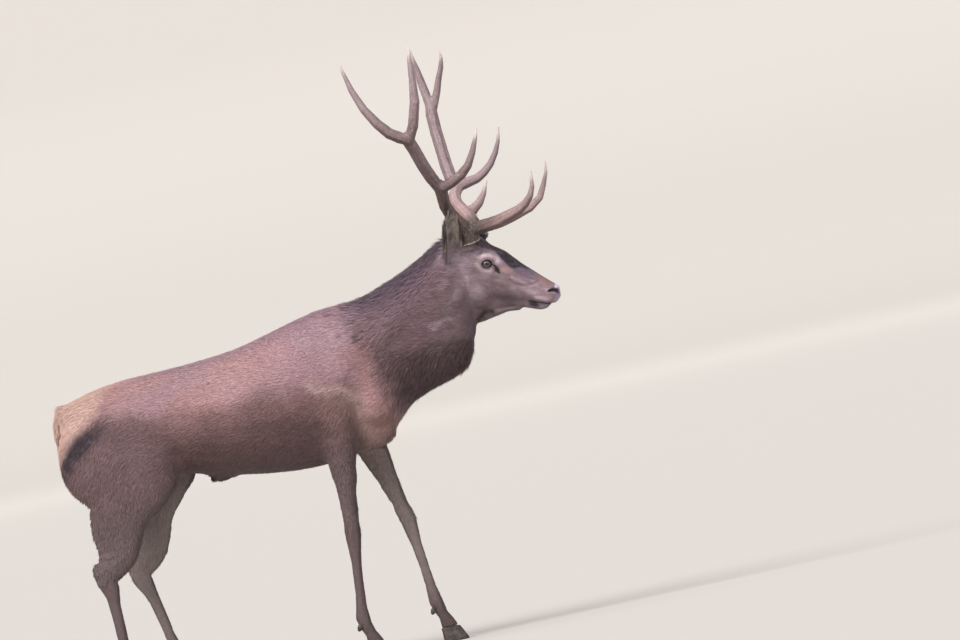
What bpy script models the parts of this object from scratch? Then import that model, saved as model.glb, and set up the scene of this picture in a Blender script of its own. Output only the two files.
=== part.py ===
"""A red deer stag in mid-stride, life size, as a still model.

Frame: metres, +X the way the stag faces, +Y its left side, +Z up, the floor at z = 0.
It is modelled with the withers over the origin, and slid along at the end to stand with its box centred there.
The body is lofted and joined whole, then parted into head, neck, trunk, tail and legs.
Lists of stations run tail to nose or top to bottom, and hold only the sizes that shape it.
"""

import math

import bmesh
import bpy
from mathutils import Matrix, Vector

HEAD_PITCH = math.radians(-29.4)
HEAD_YAW = math.radians(-10.5)
OCCIPUT = Vector((0.47, 0.0, 1.29))
TURN_X = 0.40
TURN_START_X = 0.25
EYE_RADIUS = 0.019
HOOF_HEIGHT = 0.052
GAP = 0.0003
FACET_SWELL = 1.04  # makes up for what the flats of an antler's few sides take off its width
BODY_VOXEL = 0.005
BODY_TRIANGLES = 3250
SIDES = {"right": -1, "left": 1}

COLOURS = {
    "coat": (0.23, 0.13, 0.085, 1),
    "antler": (0.30, 0.21, 0.14, 1),
    "hoof": (0.03, 0.027, 0.025, 1),
    "eye": (0.01, 0.008, 0.008, 1),
}


# ---- small tools ----


def clear_scene():
    for obj in list(bpy.data.objects):
        bpy.data.objects.remove(obj)


def material(name, roughness):
    mat = bpy.data.materials.new(name)
    mat.use_nodes = True
    shader = mat.node_tree.nodes["Principled BSDF"]
    shader.inputs["Base Color"].default_value = COLOURS[name]
    shader.inputs["Roughness"].default_value = roughness
    return mat


def add_object(name, mesh, mat=None):
    obj = bpy.data.objects.new(name, mesh)
    bpy.context.scene.collection.objects.link(obj)
    if mat:
        mesh.materials.clear()
        mesh.materials.append(mat)
        mesh.shade_smooth()
    return obj


def mesh_from(bm, name):
    bmesh.ops.recalc_face_normals(bm, faces=bm.faces)
    bmesh.ops.triangulate(bm, faces=bm.faces)
    mesh = bpy.data.meshes.new(name)
    bm.to_mesh(mesh)
    bm.free()
    return mesh


def section(bm, centre, up, side, half_width, rise, drop, power=2.0, egg=0.0, count=24):
    """A ring: a superellipse that reaches rise above the centre and drop below it.

    A positive egg makes it wider above the centre than below.
    """
    ring = []
    for i in range(count):
        angle = 2 * math.pi * i / count
        c, s = math.cos(angle), math.sin(angle)
        across = math.copysign(abs(c) ** (2 / power), c) * half_width * (1 + egg * s)
        along = math.copysign(abs(s) ** (2 / power), s) * (rise if s > 0 else drop)
        ring.append(bm.verts.new(centre + side * across + up * along))
    return ring


def skin_rings(bm, rings):
    for one, two in zip(rings, rings[1:]):
        for i in range(len(one)):
            j = (i + 1) % len(one)
            bm.faces.new((one[i], one[j], two[j], two[i]))
    bm.faces.new(rings[0][::-1])
    bm.faces.new(rings[-1])


def ellipsoid(bm, centre, radii, tilt=0.0):
    """A ball stretched to radii, then turned about the sideways axis by tilt."""
    place = Matrix.Translation(centre) @ Matrix.Rotation(tilt, 4, "Y") @ Matrix.Diagonal((*radii, 1))
    bmesh.ops.create_uvsphere(bm, u_segments=24, v_segments=16, radius=1, matrix=place)


def smooth_path(points, steps):
    """Points read off a Catmull-Rom curve, each a tuple of numbers, with steps between two."""
    padded = [points[0], *points, points[-1]]
    path = []
    for a, b, c, d in zip(padded, padded[1:], padded[2:], padded[3:]):
        for i in range(steps):
            t = i / steps
            path.append(
                tuple(
                    0.5 * (2 * q + (r - p) * t + (2 * p - 5 * q + 4 * r - s) * t**2 + (3 * q - p - 3 * r + s) * t**3)
                    for p, q, r, s in zip(a, b, c, d)
                )
            )
    path.append(points[-1])
    return path


def limb(bm, stations, grow=0.0, steps=3, count=16):
    """A tapering limb. Each station is x, y, z, half its depth fore and aft, half its width."""
    path = smooth_path(stations, steps)
    centres = [Vector(p[:3]) for p in path]
    rings = []
    for i, point in enumerate(path):
        tangent = (centres[min(i + 1, len(path) - 1)] - centres[max(i - 1, 0)]).normalized()
        ahead = Vector((0, 1, 0)).cross(tangent).normalized()
        side = tangent.cross(ahead).normalized()
        past = grow if i == len(path) - 1 else -grow if i == 0 else 0
        deep = point[3] + grow
        rings.append(
            section(bm, centres[i] + tangent * past, ahead, side, point[4] + grow, deep, deep, 2.2, count=count)
        )
    skin_rings(bm, rings)


def boolean(obj, other, operation):
    """Joins other to obj, or cuts it away, and keeps the outcome in obj's own mesh."""
    modifier = obj.modifiers.new(operation.title(), "BOOLEAN")
    modifier.operation = operation
    modifier.solver = "EXACT"
    modifier.object = other
    freeze(obj)


def freeze(obj):
    """Replaces obj's mesh by what its modifiers make of it."""
    bpy.context.view_layer.update()
    graph = bpy.context.evaluated_depsgraph_get()
    mesh = bpy.data.meshes.new_from_object(obj.evaluated_get(graph))
    mesh.materials.clear()
    for kept in obj.data.materials:
        mesh.materials.append(kept)
    obj.modifiers.clear()
    obj.data = mesh


def without(obj, cutter_mesh, operation="DIFFERENCE"):
    cutter = add_object("cutter", cutter_mesh)
    boolean(obj, cutter, operation)
    bpy.data.objects.remove(cutter)


def largest_body(bm):
    """The points of the biggest of the separate bodies in bm."""
    left, best = set(bm.verts), []
    while left:
        body, edge_of_body = [], [left.pop()]
        while edge_of_body:
            vert = edge_of_body.pop()
            body.append(vert)
            near = {e.other_vert(vert) for e in vert.link_edges} & left
            left -= near
            edge_of_body.extend(near)
        best = max(best, body, key=len)
    return set(best)


def tidy(obj):
    """Drops the crumbs of a cut, merges points that it left together, and makes every face a triangle."""
    bm = bmesh.new()
    bm.from_mesh(obj.data)
    kept = largest_body(bm)
    bmesh.ops.delete(bm, geom=[v for v in bm.verts if v not in kept], context="VERTS")
    bmesh.ops.remove_doubles(bm, verts=bm.verts, dist=0.00002)
    bmesh.ops.dissolve_degenerate(bm, edges=bm.edges, dist=0.00002)
    bmesh.ops.triangulate(bm, faces=bm.faces)
    bm.to_mesh(obj.data)
    bm.free()


def half(mesh, point, normal):
    """The part of a closed mesh on the side that normal points to, closed again by a flat cap."""
    bm = bmesh.new()
    bm.from_mesh(mesh)
    everything = bm.verts[:] + bm.edges[:] + bm.faces[:]
    cut = bmesh.ops.bisect_plane(bm, geom=everything, plane_co=point, plane_no=normal, dist=1e-6, clear_inner=True)
    rim = [e for e in cut["geom_cut"] if isinstance(e, bmesh.types.BMEdge)]
    bmesh.ops.triangle_fill(bm, edges=rim, use_beauty=True, normal=-Vector(normal))
    bmesh.ops.recalc_face_normals(bm, faces=bm.faces)
    out = bpy.data.meshes.new(mesh.name)
    bm.to_mesh(out)
    bm.free()
    return out


def parted(mesh, point, normal):
    """Both sides of a thin plane cut: what lies ahead of it, then what lies behind."""
    normal = Vector(normal).normalized()
    ahead = half(mesh, Vector(point) + normal * GAP / 2, normal)
    behind = half(mesh, Vector(point) - normal * GAP / 2, -normal)
    return ahead, behind


def side_bend(x):
    """How far the neck and head swing to the right at x, as the stag looks that way."""
    reach = 2 * (TURN_X - TURN_START_X)
    along = min(max(x - TURN_START_X, 0), reach)
    return math.tan(HEAD_YAW) * (along**2 / (2 * reach) + max(x - TURN_START_X - reach, 0))


# ---- trunk and neck ----

# x, top, bottom, half width, squareness, egg
TRUNK = [
    (-1.010, 1.068, 0.900, 0.080, 2.0, 0.0),
    (-0.982, 1.091, 0.840, 0.135, 2.2, 0.05),
    (-0.900, 1.118, 0.800, 0.178, 2.3, 0.05),
    (-0.780, 1.138, 0.785, 0.190, 2.3, 0.0),
    (-0.640, 1.144, 0.775, 0.192, 2.2, -0.08),
    (-0.500, 1.150, 0.742, 0.208, 2.2, -0.15),
    (-0.350, 1.166, 0.712, 0.214, 2.2, -0.18),
    (-0.210, 1.201, 0.698, 0.206, 2.2, -0.18),
    (-0.080, 1.232, 0.700, 0.182, 2.2, -0.10),
    (0.030, 1.242, 0.716, 0.160, 2.2, 0.0),
    (0.115, 1.200, 0.752, 0.132, 2.1, 0.0),
    (0.170, 1.100, 0.815, 0.085, 2.0, 0.0),
]

# top x, top z, bottom x, bottom z, half width, egg
NECK = [
    (-0.060, 1.238, 0.080, 0.740, 0.150, -0.15),
    (0.050, 1.243, 0.172, 0.805, 0.152, -0.15),
    (0.125, 1.255, 0.222, 0.848, 0.142, -0.12),
    (0.195, 1.279, 0.290, 0.876, 0.132, -0.10),
    (0.265, 1.307, 0.358, 0.896, 0.124, -0.08),
    (0.335, 1.341, 0.420, 0.922, 0.114, -0.05),
    (0.395, 1.374, 0.462, 0.980, 0.104, 0.0),
    (0.440, 1.392, 0.482, 1.048, 0.092, 0.05),
    (0.480, 1.370, 0.500, 1.100, 0.070, 0.05),
]


def add_trunk(bm):
    rings = []
    for x, top, bottom, width, power, egg in smooth_path(TRUNK, 3):
        middle = bottom + 0.52 * (top - bottom)
        ring = section(
            bm, Vector((x, 0, middle)), Vector((0, 0, 1)), Vector((0, 1, 0)),
            width, top - middle, middle - bottom, power, egg, 32,
        )  # fmt: skip
        rings.append(ring)
    skin_rings(bm, rings)


def add_neck(bm):
    rings = []
    for top_x, top_z, bottom_x, bottom_z, width, egg in smooth_path(NECK, 3):
        top, bottom = Vector((top_x, 0, top_z)), Vector((bottom_x, 0, bottom_z))
        centre = bottom.lerp(top, 0.48)
        up = (top - bottom).normalized()
        rise, drop = (top - centre).length, (centre - bottom).length
        centre.y = side_bend(centre.x)
        rings.append(section(bm, centre, up, Vector((0, 1, 0)), width, rise, drop, 2.0, egg, 28))
    skin_rings(bm, rings)


def add_muscles(bm, s, forward):
    """Shoulder and haunch of one side. forward shifts the haunch with its leg."""
    ellipsoid(bm, (0.020, s * 0.100, 1.010), (0.090, 0.072, 0.200), math.radians(28))
    ellipsoid(bm, (0.095, s * 0.100, 0.880), (0.075, 0.062, 0.085), math.radians(10))
    ellipsoid(bm, (-0.065, s * 0.128, 0.880), (0.100, 0.055, 0.105), math.radians(-20))
    ellipsoid(bm, (0.050, s * 0.050, 0.790), (0.100, 0.060, 0.068), math.radians(18))
    ellipsoid(bm, (-0.800, s * 0.095, 1.000), (0.175, 0.088, 0.120), math.radians(-8))
    ellipsoid(bm, (-0.905 + forward * 0.5, s * 0.106, 0.890), (0.140, 0.082, 0.180), math.radians(4))
    ellipsoid(bm, (-0.730 + forward * 0.7, s * 0.128, 0.850), (0.105, 0.066, 0.150), math.radians(-25))


def add_belly_parts(bm):
    ellipsoid(bm, (-0.470, 0, 0.738), (0.080, 0.022, 0.024), math.radians(-6))
    ellipsoid(bm, (-0.760, 0, 0.752), (0.034, 0.038, 0.050))


# ---- legs ----

# x and z of the joints of each leg, from the trunk down to the top of the hoof
FORE_JOINTS = {
    "right": {"elbow": (-0.062, 0.805), "knee": (-0.085, 0.445), "fetlock": (-0.112, 0.150), "toe": -0.085},
    "left": {"elbow": (0.020, 0.800), "knee": (0.112, 0.452), "fetlock": (0.148, 0.150), "toe": 0.178},
}
HIND_JOINTS = {
    "right": {"stifle": (-0.700, 0.765), "hock": (-0.952, 0.465), "fetlock": (-0.945, 0.150), "toe": -0.915},
    "left": {"stifle": (-0.640, 0.760), "hock": (-0.838, 0.458), "fetlock": (-0.772, 0.150), "toe": -0.740},
}
LEG_SPREAD = 0.118
HIND_FORWARD = {"right": 0.0, "left": 0.07}


def between(a, b, t):
    return a[0] + (b[0] - a[0]) * t, a[1] + (b[1] - a[1]) * t


def fore_stations(side):
    s, joints = SIDES[side], FORE_JOINTS[side]
    elbow, knee, fetlock = joints["elbow"], joints["knee"], joints["fetlock"]
    y = s * LEG_SPREAD

    def at(point, deep, wide, inward=0.0):
        return (point[0], y - s * inward, point[1], deep, wide)

    upper = (elbow[0] + 0.02, elbow[1] + 0.12)
    return [
        at(upper, 0.095, 0.050, -0.008),
        at(elbow, 0.072, 0.050),
        at(between(elbow, knee, 0.25), 0.056, 0.043, 0.002),
        at(between(elbow, knee, 0.55), 0.038, 0.032, 0.005),
        at(between(elbow, knee, 0.85), 0.028, 0.026, 0.007),
        at(knee, 0.030, 0.028, 0.008),
        at(between(knee, fetlock, 0.10), 0.027, 0.025, 0.009),
        at(between(knee, fetlock, 0.35), 0.020, 0.018, 0.010),
        at(between(knee, fetlock, 0.75), 0.019, 0.018, 0.011),
        at(fetlock, 0.026, 0.024, 0.012),
        at(between(fetlock, (joints["toe"], HOOF_HEIGHT), 0.5), 0.021, 0.022, 0.012),
        at((joints["toe"], HOOF_HEIGHT + 0.008), 0.030, 0.029, 0.012),
        at((joints["toe"] + 0.004, HOOF_HEIGHT - 0.015), 0.033, 0.031, 0.012),
    ]


def hind_stations(side):
    s, joints = SIDES[side], HIND_JOINTS[side]
    stifle, hock, fetlock = joints["stifle"], joints["hock"], joints["fetlock"]
    y = s * LEG_SPREAD

    def at(point, deep, wide, inward=0.0):
        return (point[0], y - s * inward, point[1], deep, wide)

    gaskin = between(stifle, hock, 0.5)
    return [
        at((stifle[0] - 0.120, stifle[1] + 0.12), 0.185, 0.068, -0.004),
        at((stifle[0] - 0.125, stifle[1] + 0.01), 0.172, 0.062),
        at((gaskin[0] - 0.040, gaskin[1] + 0.050), 0.104, 0.046, 0.004),
        at(between(stifle, hock, 0.74), 0.056, 0.032, 0.008),
        at((hock[0] - 0.006, hock[1] + 0.012), 0.040, 0.027, 0.010),
        at((hock[0], hock[1] - 0.035), 0.033, 0.025, 0.011),
        at(between(hock, fetlock, 0.30), 0.023, 0.019, 0.012),
        at(between(hock, fetlock, 0.75), 0.020, 0.018, 0.012),
        at(fetlock, 0.027, 0.024, 0.012),
        at(between(fetlock, (joints["toe"], HOOF_HEIGHT), 0.5), 0.021, 0.022, 0.012),
        at((joints["toe"], HOOF_HEIGHT + 0.008), 0.030, 0.028, 0.012),
        at((joints["toe"] + 0.004, HOOF_HEIGHT - 0.015), 0.032, 0.030, 0.012),
    ]


def heel_of_hock(bm, side):
    """The point of the hock, which stands out behind the joint."""
    x, z = HIND_JOINTS[side]["hock"]
    y = SIDES[side] * (LEG_SPREAD - 0.010)
    ellipsoid(bm, (x - 0.032, y, z + 0.030), (0.020, 0.017, 0.042), math.radians(-8))
    ellipsoid(bm, (x - 0.008, y, z + 0.130), (0.020, 0.014, 0.120), math.radians(-4))


def leg_zone(joints, bend, s):
    """A fat sleeve round a leg. Where the body lies inside it, it belongs to the leg."""
    hinge, fetlock = joints[bend], joints["fetlock"]
    if bend == "knee":
        elbow = joints["elbow"]
        route = [
            (elbow[0] + 0.045, elbow[1] + 0.145, 0.090, 0.205, 0.100),
            (elbow[0] + 0.012, elbow[1] + 0.020, 0.115, 0.178, 0.125),
            (*between(elbow, hinge, 0.45), 0.085, 0.130, 0.105),
        ]
    else:
        stifle = joints["stifle"]
        route = [
            (stifle[0] - 0.100, stifle[1] + 0.190, 0.120, 0.215, 0.100),
            (stifle[0] - 0.060, stifle[1] + 0.020, 0.165, 0.178, 0.128),
            (*between(stifle, hinge, 0.50), 0.115, 0.130, 0.105),
        ]
    route += [(*hinge, 0.085, 0.115, 0.090), (*fetlock, 0.085, 0.110, 0.090), (joints["toe"], -0.03, 0.090, 0.110, 0.090)]
    bm = bmesh.new()
    limb(bm, [(x, s * y, z, deep, wide) for x, z, deep, y, wide in route], steps=1, count=8)
    return mesh_from(bm, "zone")


# ---- head ----


def on_head(along, up, lateral=0.0):
    """A point of the head: metres along the face from the occiput, above it, and to the left."""
    axis = Vector((math.cos(HEAD_PITCH), 0, math.sin(HEAD_PITCH)))
    lift = Vector((-math.sin(HEAD_PITCH), 0, math.cos(HEAD_PITCH)))
    point = OCCIPUT + axis * along + lift * up
    return turned(point.x, lateral, point.z)


def turned(x, lateral, z):
    """Swings a point of the head sideways, with the profile that the side view shows kept."""
    start = x - lateral * math.sin(-HEAD_YAW)
    return Vector((x + lateral * math.sin(-HEAD_YAW), side_bend(start) + lateral * math.cos(HEAD_YAW), z))


def head_loft(bm, stations, count=24):
    lift = Vector((-math.sin(HEAD_PITCH), 0, math.cos(HEAD_PITCH)))
    rings = []
    for along, top, bottom, width, power, egg in smooth_path(stations, 3):
        middle = (top + bottom) / 2
        centre = on_head(along, middle)
        side = (on_head(along, middle, 0.01) - centre).normalized()
        rings.append(section(bm, centre, lift, side, width, top - middle, middle - bottom, power, egg, count))
    skin_rings(bm, rings)


def head_ball(bm, along, up, lateral, radii, tilt=0.0):
    place = (
        Matrix.Translation(on_head(along, up, lateral))
        @ Matrix.Rotation(HEAD_YAW, 4, "Z")
        @ Matrix.Rotation(-HEAD_PITCH + tilt, 4, "Y")
        @ Matrix.Diagonal((*radii, 1))
    )
    bmesh.ops.create_uvsphere(bm, u_segments=20, v_segments=12, radius=1, matrix=place)


# along, top, bottom, half width, squareness, egg
FACE = [
    (-0.060, 0.066, -0.110, 0.062, 2.0, 0.0),
    (0.000, 0.088, -0.110, 0.066, 2.2, 0.05),
    (0.050, 0.112, -0.105, 0.068, 2.2, 0.05),
    (0.090, 0.100, -0.095, 0.070, 2.4, 0.12),
    (0.143, 0.094, -0.085, 0.063, 2.4, 0.05),
    (0.200, 0.075, -0.078, 0.051, 2.3, -0.05),
    (0.245, 0.063, -0.062, 0.043, 2.2, -0.10),
    (0.290, 0.051, -0.048, 0.038, 2.3, -0.10),
    (0.330, 0.041, -0.041, 0.038, 2.5, -0.08),
    (0.358, 0.033, -0.033, 0.036, 2.6, -0.08),
    (0.373, 0.015, -0.020, 0.026, 2.4, 0.0),
]
JAW = [
    (0.030, -0.060, -0.132, 0.050, 2.2, -0.05),
    (0.080, -0.050, -0.140, 0.050, 2.3, -0.05),
    (0.130, -0.045, -0.132, 0.047, 2.3, -0.10),
    (0.170, -0.040, -0.114, 0.042, 2.2, -0.10),
    (0.243, -0.040, -0.081, 0.031, 2.2, -0.10),
    (0.290, -0.042, -0.073, 0.025, 2.2, -0.05),
    (0.325, -0.038, -0.065, 0.023, 2.2, 0.0),
    (0.347, -0.036, -0.053, 0.018, 2.0, 0.0),
]
THROAT = [
    (0.060, -0.080, -0.185, 0.045, 2.0, 0.0),
    (0.125, -0.080, -0.178, 0.040, 2.0, 0.0),
    (0.170, -0.080, -0.146, 0.034, 2.0, 0.0),
    (0.216, -0.060, -0.108, 0.028, 2.0, 0.0),
    (0.258, -0.050, -0.088, 0.020, 2.0, 0.0),
]
EYE_PLACE = (0.1025, 0.0350, 0.0615)
PEDICLE = {"low": (0.012, 0.050, 0.036), "high": (0.0155, 0.0985, 0.059), "radius": 0.0255}


def add_head(bm):
    for stations in (FACE, JAW, THROAT):
        head_loft(bm, stations)
    for s in SIDES.values():
        head_ball(bm, 0.092, -0.072, s * 0.036, (0.074, 0.034, 0.055), math.radians(12))
        head_ball(bm, 0.098, 0.057, s * 0.056, (0.036, 0.026, 0.022))
        head_ball(bm, 0.038, 0.000, s * 0.052, (0.070, 0.026, 0.028))
        head_ball(bm, 0.124, 0.010, s * 0.050, (0.038, 0.023, 0.026))
        head_ball(bm, 0.353, 0.009, s * 0.018, (0.019, 0.019, 0.020))
        head_ball(bm, -0.022, 0.040, s * 0.050, (0.046, 0.030, 0.045))
        low, high = (on_head(a, u, s * lateral) for a, u, lateral in (PEDICLE["low"], PEDICLE["high"]))
        beam = (high - low).normalized()
        turn = beam.to_track_quat("Z", "Y").to_matrix().to_4x4()
        bmesh.ops.create_cone(
            bm, cap_ends=True, segments=20, radius1=PEDICLE["radius"] + 0.006, radius2=PEDICLE["radius"],
            depth=(high - low).length, matrix=Matrix.Translation((low + high) / 2) @ turn,
        )  # fmt: skip
    head_ball(bm, 0.322, -0.052, 0, (0.024, 0.021, 0.012))


# ---- the whole body, joined and smoothed ----


def trunk_weight(point):
    """1 on the trunk and neck, fading to 0 on head and lower legs, which keep their detail."""
    low = min(max((point.z - 0.62) / 0.16, 0), 1)
    front = min(max((0.46 - point.x) / 0.10, 0), 1)
    return low * front


def body_mesh():
    bm = bmesh.new()
    add_trunk(bm)
    add_neck(bm)
    add_belly_parts(bm)
    add_head(bm)
    for side, s in SIDES.items():
        add_muscles(bm, s, HIND_FORWARD[side])
        limb(bm, fore_stations(side))
        limb(bm, hind_stations(side))
        heel_of_hock(bm, side)
    body = add_object("body", mesh_from(bm, "body"))
    remesh = body.modifiers.new("Join", "REMESH")
    remesh.mode = "VOXEL"
    remesh.voxel_size = BODY_VOXEL
    freeze(body)
    bm = bmesh.new()
    bm.from_mesh(body.data)
    soft = [v for v in bm.verts if trunk_weight(v.co) > 0.5]
    for _ in range(40):
        bmesh.ops.smooth_vert(bm, verts=soft, factor=0.5, use_axis_x=True, use_axis_y=True, use_axis_z=True)
    for _ in range(4):
        bmesh.ops.smooth_vert(bm, verts=bm.verts, factor=0.5, use_axis_x=True, use_axis_y=True, use_axis_z=True)
    bmesh.ops.triangulate(bm, faces=bm.faces)
    bm.to_mesh(body.data)
    faces = len(bm.faces)
    bm.free()
    thin = body.modifiers.new("Facets", "DECIMATE")
    thin.ratio = BODY_TRIANGLES / faces
    thin.use_collapse_triangulate = True
    freeze(body)
    tidy(body)
    mesh = body.data
    bpy.data.objects.remove(body)
    return mesh


def grown(mesh, distance):
    """A copy of a closed mesh with its surface moved out by distance."""
    bm = bmesh.new()
    bm.from_mesh(mesh)
    bm.normal_update()
    moves = [v.normal * distance for v in bm.verts]
    for vert, move in zip(bm.verts, moves):
        vert.co += move
    out = bpy.data.meshes.new("grown")
    bm.to_mesh(out)
    bm.free()
    return out


# ---- ears, eyes, tail ----

EAR = {"length": 0.190, "width": 0.029, "wall": 0.0045}


def ear_mesh(s):
    """A leaf rolled into a cup: a curved wall whose two edges part from the root upwards."""
    root = turned(0.471, s * 0.067, 1.334)
    tip = turned(0.509, s * 0.205, 1.470)
    axis = (tip - root).normalized()
    opening = Vector((0.42, s * 0.90, 0.05))
    opening = (opening - axis * opening.dot(axis)).normalized()
    across = axis.cross(opening).normalized()
    rings = []
    bm = bmesh.new()
    steps, arc = 8, 6
    for i in range(steps):
        t = i / (steps - 1)
        wide = EAR["width"] * (0.55 + 1.35 * math.sin(math.pi * min(t, 0.97) ** 0.8) ** 0.8 * 0.42 + 0.12 * (1 - t))
        wide *= min(1, ((1.02 - t) / 0.30) ** 0.6)
        spread = math.radians(145 - 60 * t)
        centre = root + axis * EAR["length"] * t + opening * 0.012 * math.sin(math.pi * t)
        wall = EAR["wall"] * (1.2 - 0.6 * t)
        outer, inner = [], []
        for j in range(arc):
            angle = spread * (2 * j / (arc - 1) - 1) * 0.72
            out = across * math.sin(angle) - opening * math.cos(angle) * 0.75
            edge = abs(2 * j / (arc - 1) - 1) ** 3
            outer.append(bm.verts.new(centre + out * wide))
            inner.append(bm.verts.new(centre + out * (wide - wall * (1 - 0.5 * edge))))
        rings.append(outer + inner[::-1])
    skin_rings(bm, rings)
    return mesh_from(bm, "ear")


def eye_mesh(s, grow=0.0):
    bm = bmesh.new()
    place = Matrix.Translation(on_head(*EYE_PLACE[:2], s * EYE_PLACE[2]))
    bmesh.ops.create_uvsphere(bm, u_segments=12, v_segments=6, radius=EYE_RADIUS + grow, matrix=place)
    return mesh_from(bm, "eye")


# x, z, half depth, half width
TAIL = [
    (-0.940, 1.082, 0.022, 0.030),
    (-0.996, 1.076, 0.025, 0.034),
    (-1.019, 1.035, 0.019, 0.034),
    (-1.028, 0.995, 0.015, 0.030),
    (-1.030, 0.965, 0.011, 0.022),
    (-1.028, 0.948, 0.005, 0.010),
]


def tail_mesh():
    bm = bmesh.new()
    limb(bm, [(x, 0, z, deep, wide) for x, z, deep, wide in TAIL], steps=1, count=10)
    return mesh_from(bm, "tail")


# ---- hooves ----

HOOF = {"length": 0.088, "width": 0.0315, "split": 0.0035}


def claw_mesh(toe_x, leg_y, inner):
    """One claw of a cloven hoof: flat sole, straight inner wall, rounded outer wall, blunt point."""
    bm = bmesh.new()
    rings = []
    for height, scale, shift in ((0, 1.0, 0.010), (0.006, 1.01, 0.010), (0.030, 0.88, 0.004), (HOOF_HEIGHT, 0.76, -0.003)):
        ring = []
        count = 10
        for i in range(count):
            angle = 2 * math.pi * i / count
            along = math.cos(angle)
            outward = math.sin(angle)
            x = along * HOOF["length"] / 2 * scale
            narrow = 1 - 0.45 * max(along, 0) ** 2
            y = HOOF["width"] / 2 + outward * HOOF["width"] / 2 * scale * narrow
            if outward < 0:
                y = HOOF["width"] / 2 + outward * HOOF["width"] / 2 * (0.95 if along < 0.6 else 0.75)
            ring.append(bm.verts.new((toe_x + 0.004 + shift + x, leg_y + inner * (HOOF["split"] / 2 + y), height)))
        rings.append(ring)
    skin_rings(bm, rings)
    return mesh_from(bm, "claw")


def dewclaw_mesh(fetlock, toe_x, y, grow=0.0):
    bm = bmesh.new()
    x = fetlock[0] - 0.024 + (toe_x - fetlock[0]) * 0.25
    place = Matrix.Translation((x, y, fetlock[1] - 0.030)) @ Matrix.Rotation(math.radians(25), 4, "Y")
    bmesh.ops.create_uvsphere(
        bm, u_segments=6, v_segments=4, radius=1,
        matrix=place @ Matrix.Diagonal((0.0105 + grow, 0.0085 + grow, 0.016 + grow, 1)),
    )  # fmt: skip
    return mesh_from(bm, "dewclaw")


# ---- antlers ----

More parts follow.
